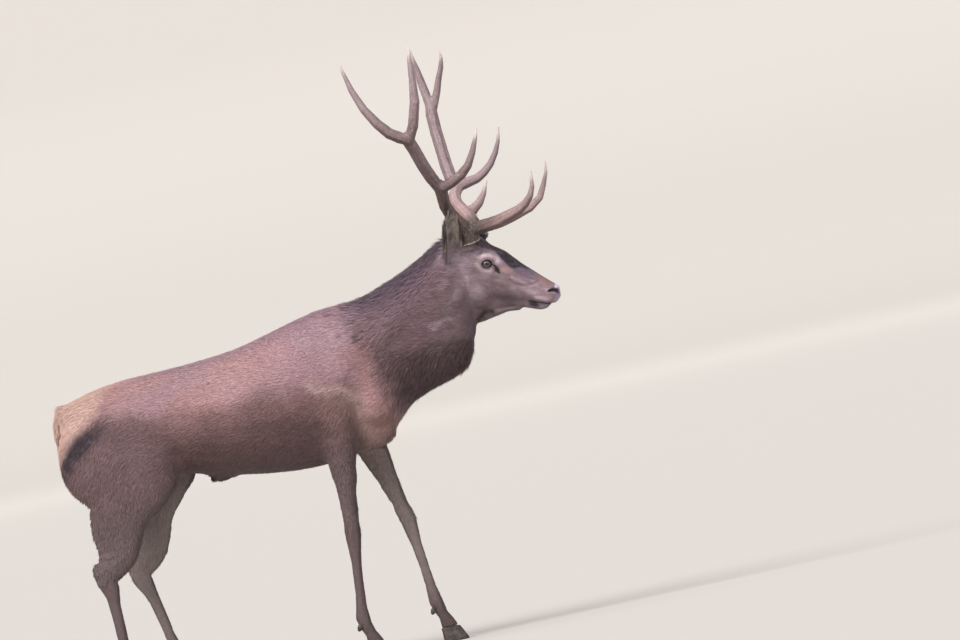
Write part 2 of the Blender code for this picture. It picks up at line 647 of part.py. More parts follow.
# Each tine or length of beam: x, sideways from the middle of the head, z, radius
ANTLERS = {
    "right": {
        "base": [
            (0.5280, 0.056, 1.362, 0.0300), (0.5270, 0.060, 1.372, 0.0285), (0.5220, 0.068, 1.390, 0.0280),
            (0.5070, 0.087, 1.419, 0.0270), (0.4910, 0.108, 1.445, 0.0245), (0.4770, 0.131, 1.473, 0.0222),
            (0.4670, 0.156, 1.500, 0.0212), (0.4650, 0.181, 1.524, 0.0208), (0.4645, 0.209, 1.556, 0.0225),
            (0.4585, 0.226, 1.579, 0.0215),
        ],
        "brow": [
            (0.5350, 0.072, 1.398, 0.0200), (0.5710, 0.076, 1.400, 0.0235), (0.6070, 0.082, 1.404, 0.0222),
            (0.6440, 0.092, 1.409, 0.0212), (0.6820, 0.106, 1.420, 0.0195), (0.7170, 0.120, 1.431, 0.0170),
            (0.7440, 0.131, 1.448, 0.0140), (0.7640, 0.138, 1.470, 0.0112), (0.7780, 0.141, 1.502, 0.0078),
            (0.7840, 0.138, 1.560, 0.0028),
        ],
        "trez": [
            (0.4730, 0.222, 1.560, 0.0180), (0.5110, 0.234, 1.574, 0.0185), (0.5450, 0.243, 1.591, 0.0168),
            (0.5740, 0.249, 1.617, 0.0138), (0.5990, 0.253, 1.660, 0.0108), (0.6200, 0.254, 1.709, 0.0066),
            (0.6290, 0.252, 1.740, 0.0028),
        ],
        "upper": [
            (0.4660, 0.208, 1.550, 0.0195), (0.4389, 0.248, 1.605, 0.0214), (0.4193, 0.284, 1.655, 0.0214),
            (0.4011, 0.316, 1.713, 0.0213), (0.3871, 0.334, 1.748, 0.0216), (0.3770, 0.342, 1.768, 0.0180),
        ],
        "crown_front": [
            (0.3910, 0.338, 1.744, 0.0185), (0.4160, 0.346, 1.790, 0.0180), (0.4390, 0.350, 1.870, 0.0170),
            (0.4470, 0.338, 1.950, 0.0120), (0.4510, 0.320, 2.018, 0.0080), (0.4570, 0.308, 2.062, 0.0028),
        ],
        "crown_rear": [
            (0.3950, 0.339, 1.741, 0.0165), (0.3630, 0.352, 1.759, 0.0200), (0.3290, 0.362, 1.782, 0.0190),
            (0.2950, 0.370, 1.823, 0.0170), (0.2600, 0.371, 1.881, 0.0140), (0.2320, 0.362, 1.954, 0.0104),
            (0.2070, 0.344, 2.060, 0.0028),
        ],
    },
    "left": {
        "base": [
            (0.5640, 0.056, 1.366, 0.0300), (0.5630, 0.060, 1.376, 0.0270), (0.5570, 0.071, 1.403, 0.0250),
            (0.5420, 0.098, 1.440, 0.0238), (0.5240, 0.128, 1.470, 0.0225), (0.5080, 0.160, 1.500, 0.0212),
            (0.5070, 0.190, 1.530, 0.0208), (0.5260, 0.218, 1.562, 0.0205),
        ],
        "brow": [
            (0.5700, 0.073, 1.402, 0.0200), (0.6060, 0.077, 1.403, 0.0222), (0.6430, 0.086, 1.406, 0.0212),
            (0.6820, 0.100, 1.414, 0.0200), (0.7190, 0.115, 1.424, 0.0182), (0.7560, 0.128, 1.433, 0.0158),
            (0.7980, 0.138, 1.460, 0.0119), (0.8200, 0.142, 1.502, 0.0088), (0.8370, 0.142, 1.542, 0.0054),
            (0.8420, 0.140, 1.583, 0.0028),
        ],
        "bez": [
            (0.5320, 0.122, 1.463, 0.0185), (0.5600, 0.134, 1.466, 0.0182), (0.5870, 0.146, 1.487, 0.0145),
            (0.6080, 0.156, 1.515, 0.0096), (0.6280, 0.164, 1.560, 0.0028),
        ],
        "trez": [
            (0.5300, 0.216, 1.558, 0.0185), (0.5670, 0.228, 1.567, 0.0182), (0.5960, 0.237, 1.572, 0.0160),
            (0.6250, 0.244, 1.588, 0.0142), (0.6540, 0.250, 1.613, 0.0122), (0.6790, 0.254, 1.649, 0.0096),
            (0.6960, 0.255, 1.686, 0.0066), (0.7080, 0.253, 1.735, 0.0028),
        ],
        "upper": [
            (0.5260, 0.214, 1.555, 0.0195), (0.5070, 0.238, 1.595, 0.0222), (0.5000, 0.270, 1.645, 0.0220),
            (0.4950, 0.304, 1.705, 0.0215), (0.4900, 0.332, 1.765, 0.0215), (0.4880, 0.348, 1.829, 0.0215),
            (0.4910, 0.352, 1.872, 0.0170),
        ],
        "crown_front": [
            (0.4980, 0.350, 1.850, 0.0150), (0.5220, 0.352, 1.902, 0.0128), (0.5360, 0.346, 1.942, 0.0108),
            (0.5540, 0.336, 1.985, 0.0090), (0.5610, 0.326, 2.015, 0.0060), (0.5600, 0.318, 2.040, 0.0028),
        ],
        "crown_rear": [
            (0.4880, 0.350, 1.850, 0.0160), (0.4810, 0.360, 1.904, 0.0152), (0.4740, 0.364, 1.948, 0.0138),
            (0.4680, 0.362, 1.992, 0.0112), (0.4620, 0.356, 2.033, 0.0066), (0.4580, 0.350, 2.066, 0.0028),
        ],
    },
}  # fmt: skip
TINES = ("brow", "bez", "trez", "upper", "crown_front", "crown_rear")
GROWS_FROM = {
    "brow": ["base"],
    "bez": ["base"],
    "trez": ["base"],
    "upper": ["base", "trez"],
    "crown_front": ["upper"],
    "crown_rear": ["upper", "crown_front"],
}


def beam_mesh(stations, s, grow=0.0, count=7):
    bm = bmesh.new()
    path = smooth_path(stations, 1)
    centres = [turned(x - s * lateral * math.sin(-HEAD_YAW), s * lateral, z) for x, lateral, z, _ in path]
    rings = []
    side = Vector((0, 1, 0))
    for i, point in enumerate(path):
        tangent = (centres[min(i + 1, len(path) - 1)] - centres[max(i - 1, 0)]).normalized()
        side = (side - tangent * side.dot(tangent)).normalized()
        ahead = side.cross(tangent)
        radius = point[3] * FACET_SWELL + grow
        past = grow if i == len(path) - 1 else -grow if i == 0 else 0
        rings.append(section(bm, centres[i] + tangent * past, ahead, side, radius, radius, radius, count=count))
    skin_rings(bm, rings)
    return mesh_from(bm, "beam")


def add_antler(side, mat):
    s = SIDES[side]
    shapes = ANTLERS[side]
    for name in ("base", *TINES):
        if name not in shapes:
            continue
        piece = add_object(f"antler_{side}_{name}", beam_mesh(shapes[name], s), mat)
        for parent in GROWS_FROM.get(name, ()):
            without(piece, beam_mesh(shapes[parent], s, GAP))
        tidy(piece)


# ---- parting the body into its pieces ----

HEAD_CUT = {"point": (0.425, 0, 1.385), "normal": (0.982, 0, 0.187)}
NECK_CUT = {"point": (0.060, 0, 1.245), "normal": (0.948, 0, 0.320)}


def add_pieces(body, flesh, coat, eye_coat, hoof_coat):
    """Makes the head, neck, trunk and legs from the one body mesh."""
    head, rest = parted(body, **HEAD_CUT)
    neck, torso = parted(rest, **NECK_CUT)
    head_piece = add_object("head", head, coat)
    for side, s in SIDES.items():
        without(head_piece, eye_mesh(s, GAP))
        without(head_piece, beam_mesh(ANTLERS[side]["base"], s, GAP))
        add_object(f"eye_{side}", eye_mesh(s), eye_coat)
        ear = add_object(f"ear_{side}", ear_mesh(s), coat)
        without(ear, flesh.copy())
        tidy(ear)
    tidy(head_piece)
    tidy(add_object("neck", neck, coat))
    trunk = add_object("trunk", torso, coat)
    tail = add_object("tail", tail_mesh(), coat)
    without(tail, flesh.copy())
    tidy(tail)
    for side, s in SIDES.items():
        for end, joints, bend in (("fore", FORE_JOINTS[side], "knee"), ("hind", HIND_JOINTS[side], "hock")):
            zone = leg_zone(joints, bend, s)
            leg = add_object("leg", torso.copy())
            without(leg, zone.copy(), "INTERSECT")
            without(trunk, grown(zone, GAP))
            add_leg(f"{end}leg_{side}", leg, joints, bend, s, coat, hoof_coat)
            bpy.data.objects.remove(leg)
    tidy(trunk)


def add_leg(name, leg, joints, bend, s, coat, hoof_coat):
    """Parts one leg at its knee or hock, and stands it on two claws with two dewclaws behind."""
    upper, lower = parted(leg.data, (0, 0, joints[bend][1]), (0, 0, 1))
    lower = half(lower, Vector((0, 0, HOOF_HEIGHT + GAP)), Vector((0, 0, 1)))
    tidy(add_object(f"{name}_upper", upper, coat))
    shank = add_object(f"{name}_lower", lower, coat)
    y = s * (LEG_SPREAD - 0.012)
    for inner, where in ((-s, "inner"), (s, "outer")):
        add_object(f"{name}_claw_{where}", claw_mesh(joints["toe"], y, inner), hoof_coat)
        spur_y = y + inner * 0.0125
        without(shank, dewclaw_mesh(joints["fetlock"], joints["toe"], spur_y, GAP))
        add_object(f"{name}_dewclaw_{where}", dewclaw_mesh(joints["fetlock"], joints["toe"], spur_y), hoof_coat)
    tidy(shank)


def centre_over_origin():
    """Slides the whole stag over the floor until the middle of its box stands over the origin."""
    points = [v.co for obj in bpy.context.scene.objects for v in obj.data.vertices]
    middle = [(min(p[i] for p in points) + max(p[i] for p in points)) / 2 for i in (0, 1)]
    for obj in bpy.context.scene.objects:
        obj.data.transform(Matrix.Translation((-middle[0], -middle[1], 0)))


def main():
    clear_scene()
    coat = material("coat", 0.85)
    horn = material("antler", 0.6)
    eye_coat = material("eye", 0.1)
    hoof_coat = material("hoof", 0.5)
    body = body_mesh()
    flesh = grown(body, GAP)
    add_pieces(body, flesh, coat, eye_coat, hoof_coat)
    for side in SIDES:
        add_antler(side, horn)
    centre_over_origin()


main()
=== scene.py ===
# A red deer stag, life size, walking on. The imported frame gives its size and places;
# this script gives it skin, coat, antlers, eyes and hooves.
import math

import bmesh
import bpy
import numpy as np
from mathutils import Matrix, Vector, noise
from mathutils.kdtree import KDTree


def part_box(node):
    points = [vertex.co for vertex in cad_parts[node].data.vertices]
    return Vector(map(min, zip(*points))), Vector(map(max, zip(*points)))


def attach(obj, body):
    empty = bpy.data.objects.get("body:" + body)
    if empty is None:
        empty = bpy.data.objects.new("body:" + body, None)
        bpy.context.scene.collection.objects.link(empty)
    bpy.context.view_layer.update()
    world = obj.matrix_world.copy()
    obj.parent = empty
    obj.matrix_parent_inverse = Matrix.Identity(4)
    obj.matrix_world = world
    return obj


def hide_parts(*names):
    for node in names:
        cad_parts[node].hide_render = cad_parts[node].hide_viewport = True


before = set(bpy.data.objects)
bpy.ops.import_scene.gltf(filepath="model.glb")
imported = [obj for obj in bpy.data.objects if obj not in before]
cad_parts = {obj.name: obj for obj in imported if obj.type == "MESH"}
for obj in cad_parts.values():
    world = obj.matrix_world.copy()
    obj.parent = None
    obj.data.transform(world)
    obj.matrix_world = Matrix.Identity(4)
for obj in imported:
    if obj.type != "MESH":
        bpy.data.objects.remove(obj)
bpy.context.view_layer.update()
rng = np.random.default_rng(11)
sides = {"right": -1, "left": 1}
legNames = ["foreleg_right", "foreleg_left", "hindleg_right", "hindleg_left"]
fleshNodes = ["head", "neck", "trunk", "tail"] + [f"{leg}_{end}" for leg in legNames for end in ("upper", "lower")]


# tools for meshes held as arrays
def unit(vectors):
    return vectors / np.maximum(np.linalg.norm(vectors, axis=-1, keepdims=True), 1e-12)


def ease(value, low=0.0, high=1.0):
    share = np.clip((value - low) / (high - low), 0, 1)  # 0 below low, 1 above high, smooth between
    return share * share * (3 - 2 * share)


def pointsOf(mesh):
    found = np.empty(len(mesh.vertices) * 3)
    mesh.vertices.foreach_get("co", found)
    return found.reshape(-1, 3)


def normalsOf(mesh):
    found = np.empty(len(mesh.vertices) * 3)
    mesh.vertex_normals.foreach_get("vector", found)
    return found.reshape(-1, 3)


def edgesOf(mesh):
    found = np.empty(len(mesh.edges) * 2, int)
    mesh.edges.foreach_get("vertices", found)
    return found.reshape(-1, 2)


def trianglesOf(mesh):
    mesh.calc_loop_triangles()
    found = np.empty(len(mesh.loop_triangles) * 3, int)
    mesh.loop_triangles.foreach_get("vertices", found)
    return found.reshape(-1, 3)


def placePoints(mesh, points):
    mesh.vertices.foreach_set("co", np.asarray(points, np.float32).ravel())
    mesh.update()


def neighbourMean(values, edges):
    # the mean of each point's neighbours, for any number of columns
    a, b = edges[:, 0], edges[:, 1]
    count = np.bincount(a, minlength=len(values)) + np.bincount(b, minlength=len(values))
    total = np.stack(
        [
            np.bincount(a, column[b], len(values)) + np.bincount(b, column[a], len(values))
            for column in values.T
        ],
        axis=1,
    )
    return total / np.maximum(count, 1)[:, None]


def relaxed(points, edges, passes, weight, back=-0.57):
    # smooths, then pushes back a little more, so that the form keeps its bulk; with back at 0 it only smooths
    points = points.copy()
    for _ in range(passes):
        for share in (0.55, back) if back else (0.55,):
            points += (neighbourMean(points, edges) - points) * weight[:, None] * share
    return points


def distanceTo(points, line):
    # how far each point lies from a line of straight stretches, and how far along it, from 0 to 1
    line = np.asarray(line, float)
    lengths = np.linalg.norm(np.diff(line, axis=0), axis=1)
    starts = np.concatenate([[0], np.cumsum(lengths)])
    best, along = np.full(len(points), 9.0), np.zeros(len(points))
    for start, end, length, before in zip(line, line[1:], lengths, starts):
        share = np.clip((points - start) @ (end - start) / length**2, 0, 1)
        gap = np.linalg.norm(points - start - share[:, None] * (end - start), axis=1)
        nearer = gap < best
        best[nearer] = gap[nearer]
        along[nearer] = (before + share * length)[nearer] / starts[-1]
    return best, along


def newObject(name, mesh, material=None):
    made = bpy.data.objects.new(name, mesh)
    bpy.context.scene.collection.objects.link(made)
    if material:
        dressed(mesh, material)
    return made


def kept(piece, slot, *replaced):
    # finishes a piece: hides the imported nodes it stands for and hangs it on the body it rides on; slot is not used
    if replaced:
        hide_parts(*replaced)
    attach(piece, "root")


def dressed(mesh, material):
    mesh.materials.clear()
    mesh.materials.append(material)
    mesh.shade_smooth()


def applied(piece):
    # puts the outcome of the modifiers into the mesh itself
    bpy.context.view_layer.update()
    mesh = bpy.data.meshes.new_from_object(piece.evaluated_get(bpy.context.evaluated_depsgraph_get()))
    piece.modifiers.clear()
    piece.data = mesh
    return piece


def cadCopy(names, grow):
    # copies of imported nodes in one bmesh, each merged and swollen by grow so that the hairline gaps between them close
    whole = bmesh.new()
    for name in names:
        part = bmesh.new()
        part.from_mesh(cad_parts[name].data)
        bmesh.ops.remove_doubles(part, verts=part.verts, dist=1e-6)
        part.normal_update()
        moves = [corner.normal * grow for corner in part.verts]
        for corner, move in zip(part.verts, moves):
            corner.co += move
        mesh = bpy.data.meshes.new(name)
        part.to_mesh(mesh)
        part.free()
        whole.from_mesh(mesh)
        bpy.data.meshes.remove(mesh)
    return whole


def fused(name, bm, voxel):
    mesh = bpy.data.meshes.new(name)
    bm.to_mesh(mesh)
    bm.free()
    piece = newObject(name, mesh)
    remesh = piece.modifiers.new("fuse", "REMESH")
    remesh.mode = "VOXEL"
    remesh.voxel_size = voxel
    return applied(piece)


# where things are
def middleOf(name):
    low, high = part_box(name)
    return np.array((low + high) / 2)


trunkLow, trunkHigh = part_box("trunk")
home = np.array((trunkHigh.x - 0.199, (trunkLow.y + trunkHigh.y) / 2, 0))  # on the floor, under the withers
eyeMiddle = {side: middleOf(f"eye_{side}") for side in sides}
headMiddle = (eyeMiddle["right"] + eyeMiddle["left"]) / 2
headSide = unit(eyeMiddle["left"] - eyeMiddle["right"])
facePitch = math.radians(29)  # the bridge of the nose slopes down by this much
headAhead = unit(np.cross(headSide, (0, 0, 1))) * math.cos(facePitch) - np.array((0, 0, math.sin(facePitch)))
headUp = np.cross(headAhead, headSide)


def onHead(points):
    # metres ahead of the eyes, above them and to the left, along the head's own directions
    away = np.atleast_2d(points) - headMiddle
    return np.stack([away @ headAhead, away @ headUp, away @ headSide], axis=1)


def fromHead(ahead, up, side):
    return headMiddle + headAhead * ahead + headUp * up + headSide * side


def places(points):
    # soft shares, 0 to 1, of the parts of the body that a point belongs to
    at = points - home
    x, z = at[:, 0], at[:, 2]
    ahead, up, _ = onHead(points).T
    head = ease(ahead - 0.20 * up, -0.175, -0.10) * ease(z, 1.0, 1.05)
    shank = ease(z, 0.60, 0.44)
    leg = ease(z, 0.86, 0.62)
    neckTop, neckBottom = np.array((0.02, 1.24)), np.array((0.13, 0.78))  # a slanting line from withers to breastbone
    slant = neckBottom - neckTop
    beyond = ((x - neckTop[0]) * -slant[1] + (z - neckTop[1]) * slant[0]) / np.linalg.norm(slant)
    neck = ease(beyond, -0.03, 0.12) * (1 - head)
    tail = ease(x, -0.975, -1.005) * ease(np.abs(at[:, 1]), 0.05, 0.03) * ease(z, 0.93, 0.96)
    return {"head": head, "shank": shank, "leg": leg, "neck": neck, "tail": tail, "beyond": beyond}


def nearest(points, targets, count):
    # indices and distances of the targets nearest to each point
    tree = KDTree(len(targets))
    for index, target in enumerate(targets):
        tree.insert(target, index)
    tree.balance()
    found = [tree.find_n(point, count) for point in points]
    return np.array([[hit[1] for hit in hits] for hits in found]), np.array([[hit[2] for hit in hits] for hits in found])


# the skin's form: how finely it is made, how far it is smoothed, and how deep under the coat it lies
skinMake = {
    "overlap": 0.0007, "voxel": 0.0042, "coarse": 0.016, "coarsePasses": 150, "passes": 18,
    "trunkFaces": 32000, "shankFaces": 14000, "headFaces": 12000,
}
coatDepth = {
    "trunk": 0.0070, "neck": 0.0095, "poll": 0.0045, "face": 0.0020,
    "thigh": 0.0055, "shank": 0.0026, "tail": 0.0075,
}


def withoutFacets(points):
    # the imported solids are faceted, so the broad forms are smoothed on a coarse copy and the moves carried over
    coarse = fused("coarse", cadCopy(fleshNodes, skinMake["overlap"]), skinMake["coarse"])
    start = pointsOf(coarse.data)
    where = places(start)
    free = (1 - np.maximum(where["head"], where["shank"])) * (1 - where["tail"])
    moves = relaxed(start, edgesOf(coarse.data), skinMake["coarsePasses"], free) - start
    bpy.data.objects.remove(coarse)
    where = places(points)
    chosen = np.flatnonzero((1 - np.maximum(where["head"], where["shank"])) * (1 - where["tail"]) > 0.01)
    index, gap = nearest(points[chosen], start, 5)
    weight = 1 / (gap + 0.002) ** 2
    points = points.copy()
    points[chosen] += (moves[index] * weight[..., None]).sum(axis=1) / weight.sum(axis=1)[:, None]
    return points


def thinnedTo(piece, chosen, faces):
    # collapses edges among the chosen points only, until that many triangles are left in all
    group = piece.vertex_groups.new(name="thin")
    group.add(np.flatnonzero(chosen).tolist(), 1.0, "REPLACE")
    fewer = piece.modifiers.new("fewer", "DECIMATE")
    fewer.ratio = min(1, faces / len(piece.data.polygons))
    fewer.vertex_group = "thin"
    fewer.use_collapse_triangulate = True
    applied(piece)
    piece.vertex_groups.clear()


def skinForm():
    bm = cadCopy(fleshNodes + ["eye_right", "eye_left"], skinMake["overlap"])
    for side in sides:  # the skin climbs the pedicles up to the antlers
        foot, way, radius = antlerFoot[side]
        turn = Vector(way).to_track_quat("Z", "Y").to_matrix().to_4x4()
        place = Matrix.Translation(foot - way * 0.012) @ turn
        bmesh.ops.create_cone(
            bm, cap_ends=True, segments=24, radius1=radius - 0.003, radius2=radius + 0.001, depth=0.044, matrix=place
        )
    whole = fused("skin", bm, skinMake["voxel"])
    whole.modifiers.new("triangles", "TRIANGULATE")
    mesh = applied(whole).data
    points = withoutFacets(pointsOf(mesh))
    share = places(points)
    points = relaxed(points, edgesOf(mesh), skinMake["passes"], 1 - 0.5 * share["shank"])
    placePoints(mesh, points)
    depth = coatDepth["trunk"] + (coatDepth["neck"] - coatDepth["trunk"]) * share["neck"]
    depth += (coatDepth["thigh"] - depth) * share["leg"]
    depth += (coatDepth["shank"] - depth) * share["shank"]
    depth += (coatDepth["tail"] - depth) * share["tail"]
    faceDepth = coatDepth["poll"] + (coatDepth["face"] - coatDepth["poll"]) * ease(onHead(points)[:, 0], -0.10, 0.02)
    depth += (faceDepth - depth) * share["head"]
    placePoints(mesh, points - normalsOf(mesh) * depth[:, None])
    # fewer faces where the form is broad, so that the face and ears can have more
    parts = {
        "trunk": lambda where: (where["head"] <= 0.5) & (where["shank"] <= 0.5),
        "shank": lambda where: where["shank"] > 0.5,
        "head": lambda where: where["head"] > 0.5,
    }
    for part, chooses in parts.items():
        chosen = chooses(places(pointsOf(whole.data)))
        others = int((~chosen)[trianglesOf(whole.data)[:, 0]].sum())
        thinnedTo(whole, chosen, others + skinMake[part + "Faces"])
    print("skin form", len(whole.data.polygons), "faces")
    return whole


def footOf(side):
    # where an antler stands on its pedicle: the middle of its lowest ring, the way it rises, and its radius there
    points = np.unique(pointsOf(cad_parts[f"antler_{side}_base"].data).round(5), axis=0)
    middle = points.mean(axis=0)
    toHead = fromHead(-0.06, 0.0, sides[side] * 0.03)
    ring = points[np.argsort(points @ unit(middle - toHead))[:7]]
    foot = ring.mean(axis=0)
    _, _, axes = np.linalg.svd(ring - foot)
    way = axes[2] * np.sign(axes[2] @ (middle - foot))
    return foot, way, np.linalg.norm(ring - foot, axis=1).mean()


antlerFoot = {side: footOf(side) for side in sides}


# an ear: a leaf rolled into a cup, with ridges inside
earShape = {
    "halfWidth": 0.0365, "wall": 0.0034, "sunk": 0.024, "wrapRoot": 104, "wrapTip": 56,
    "ribs": 3, "ribHeight": 0.0016, "rootMove": (0.005, 0.006, -0.012), "tipMove": (0.012, 0.0, -0.003),
}


def earLine(side):
    # root and tip of an ear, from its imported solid
    points = pointsOf(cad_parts[f"ear_{side}"].data)
    tip = points[np.argmax(points[:, 2])]
    far = np.linalg.norm(points - tip, axis=1)
    outwards = np.array((1, sides[side], 1))
    return points[far > far.max() - 0.02].mean(axis=0) + earShape["rootMove"] * outwards, tip + earShape["tipMove"] * outwards


ears = {side: earLine(side) for side in sides}
earOpening = {side: unit(np.array((0.42, sides[side] * 0.90, 0.05))) for side in sides}


def makeEar(side):
    root, tip = (Vector(point) for point in ears[side])
    axis = (tip - root).normalized()
    length = (tip - root).length - 0.001
    opening = Vector(earOpening[side])
    opening = (opening - axis * opening.dot(axis)).normalized()
    across = axis.cross(opening).normalized()
    bm = bmesh.new()
    bmesh.ops.create_grid(bm, x_segments=30, y_segments=46, size=0.5)
    for corner in bm.verts:
        over, along = corner.co.x * 2, corner.co.y + 0.5  # -1 to 1 across the leaf, 0 to 1 up it
        leaf = 0.60 + 0.42 * math.sin(math.pi * along**0.85)
        leaf *= max(0.0, 1 - max(0.0, (along - 0.62) / 0.38) ** 2.2) ** 0.62
        radius = earShape["halfWidth"] * max(leaf, 0.03)
        unrolled = (earShape["wrapTip"] - earShape["wrapRoot"]) * float(ease(along, 0, 0.9))
        turn = over * math.radians(earShape["wrapRoot"] + unrolled)
        rib = math.cos(over * math.pi * earShape["ribs"]) * earShape["ribHeight"] * (1 - along) * (1 - over * over)
        out = across * math.sin(turn) - opening * math.cos(turn) * 0.8
        bow = opening * (0.014 * math.sin(math.pi * along) - 0.004 * along)
        rise = axis * (length * along - earShape["sunk"] * (1 - along) ** 3)
        corner.co = root + rise + bow + out * (radius - rib - 0.002)
    bmesh.ops.recalc_face_normals(bm, faces=bm.faces)
    bmesh.ops.solidify(bm, geom=bm.faces[:], thickness=earShape["wall"])
    bmesh.ops.triangulate(bm, faces=bm.faces)
    bmesh.ops.recalc_face_normals(bm, faces=bm.faces)
    for _ in range(3):
        bmesh.ops.smooth_vert(bm, verts=bm.verts, factor=0.4, use_axis_x=True, use_axis_y=True, use_axis_z=True)
    mesh = bpy.data.meshes.new(f"ear_{side}")
    bm.to_mesh(mesh)
    bm.free()
    return newObject(f"ear_{side}", mesh)


def finer(piece, chosen):
    # halves every edge among the chosen points
    bm = bmesh.new()
    bm.from_mesh(piece.data)
    bm.verts.ensure_lookup_table()
    inside = set(np.flatnonzero(chosen).tolist())
    edges = [edge for edge in bm.edges if edge.verts[0].index in inside and edge.verts[1].index in inside]
    bmesh.ops.subdivide_edges(bm, edges=edges, cuts=1, use_grid_fill=True)
    bmesh.ops.triangulate(bm, faces=[face for face in bm.faces if len(face.verts) > 3])
    bm.to_mesh(piece.data)
    bm.free()


def joinedEars(skin):
    # the ears grow out of the head: joined before the fine forms are raised
    for side in sides:
        ear = makeEar(side)
        join = skin.modifiers.new("join", "BOOLEAN")
        join.operation, join.solver, join.object = "UNION", "MANIFOLD", ear
        applied(skin)
        bpy.data.objects.remove(ear)
    print("ears joined", len(skin.data.polygons), "faces")


def onEar(points, side):
    # how far up the ear a point lies, 0 to 1, how far from its line, and how far towards its open side
    root, tip = ears[side]
    axis = unit(tip - root)
    away = points - root
    along = away @ axis
    out = away - along[:, None] * axis
    opening = earOpening[side] - axis * (earOpening[side] @ axis)
    return along / np.linalg.norm(tip - root), np.linalg.norm(out, axis=1), out @ unit(opening)


def earShare(points):
    share = np.zeros(len(points))
    for side in sides:
        along, out, _ = onEar(points, side)
        share = np.maximum(share, ease(along, 0.08, 0.22) * (out < 0.052) * (along < 1.15))
    return share


# the eyes and their lids, in metres and in degrees
eyeShape = {
    "radius": 0.019, "ahead": 0.33, "up": 0.08, "tilt": 18,
    "halfWidth": 0.0190, "upper": 0.0120, "lower": 0.0104, "lid": 0.0020, "socket": 0.0032,
}


def eyeDirections(side):
    # the way an eye looks, the way its slit runs towards the nose, and the way across the slit
    look = unit(headSide * sides[side] * 0.94 + headAhead * eyeShape["ahead"] + headUp * eyeShape["up"])
    tilt = math.radians(eyeShape["tilt"])
    slit = headAhead * math.cos(tilt) + headUp * math.sin(tilt)
    slit = unit(slit - look * (slit @ look))
    across = np.cross(look, slit) * -sides[side]
    return look, slit, across


def opening(points, side):
    # 0 at the middle of the eye's opening, 1 at the rim of the lids
    look, slit, across = eyeDirections(side)
    way = unit(points - eyeMiddle[side])
    turned = np.arccos(np.clip(way @ look, -1, 1)) * eyeShape["radius"]  # arc from the middle of the pupil
    flat = unit(np.stack([way @ slit, way @ across], axis=1))
    a, b = flat[:, 0] * turned, flat[:, 1] * turned
    high = np.where(b > 0, eyeShape["upper"], eyeShape["lower"])
    lens = (np.abs(a) / eyeShape["halfWidth"]) ** 1.7 + (np.abs(b) / high) ** 1.7
    return lens ** (1 / 1.7), a, b


def withLids(points, side):
    look, _, _ = eyeDirections(side)
    middle, radius = eyeMiddle[side], eyeShape["radius"]
    away = points - middle
    far = np.linalg.norm(away, axis=1)
    rim, _, b = opening(points, side)
    near = (far < 0.05) & (away @ look > -0.02)
    # around the opening the skin lies on a ball a little bigger than the eye; inside it, behind the eye's surface
    fold = 0.0012 * np.exp(-(((rim - 1.55) / 0.13) ** 2)) * ease(b, 0, 0.006)  # the crease above the upper lid
    lidHeight = eyeShape["lid"] * (1 + 0.35 * ease(b, -0.004, 0.004))
    target = radius + lidHeight - fold
    target = np.where(rim < 1.0, radius - eyeShape["socket"] * ease(rim, 1.0, 0.86) + lidHeight * ease(rim, 0.9, 1.0), target)
    hold = near * ease(rim, 2.1, 1.1)
    moved = middle + unit(away) * target[:, None]
    return points + (moved - points) * hold[:, None]


# folds and swellings of the head: ahead of the eyes, above them, out to the side, in metres
headSwellings = [
    ((0.000, 0.026, 0.060), (0.030, 0.010, 0.020), 0.0012),  # brow
    ((-0.030, -0.085, 0.055), (0.040, 0.045, 0.040), 0.0035),  # chewing muscle
    ((-0.045, 0.022, 0.060), (0.022, 0.018, 0.025), -0.0035),  # temple
    ((0.050, -0.028, 0.050), (0.050, 0.008, 0.020), 0.0022),  # cheekbone
    ((0.095, -0.050, 0.036), (0.045, 0.016, 0.020), -0.0030),  # hollow of the cheek
    ((0.062, 0.018, 0.040), (0.030, 0.014, 0.016), -0.0016),  # beside the bridge
    ((0.236, -0.026, 0.030), (0.022, 0.018, 0.020), 0.0020),  # wing of the nostril
    ((0.240, -0.062, 0.022), (0.030, 0.011, 0.022), 0.0020),  # upper lip
    ((0.222, -0.092, 0.010), (0.020, 0.012, 0.018), 0.0022),  # chin
    ((0.110, -0.016, 0.036), (0.050, 0.009, 0.016), 0.0018),  # muscle that lifts the lip
    ((0.170, -0.060, 0.034), (0.040, 0.014, 0.016), 0.0018),  # pad of the cheek beside the mouth
]
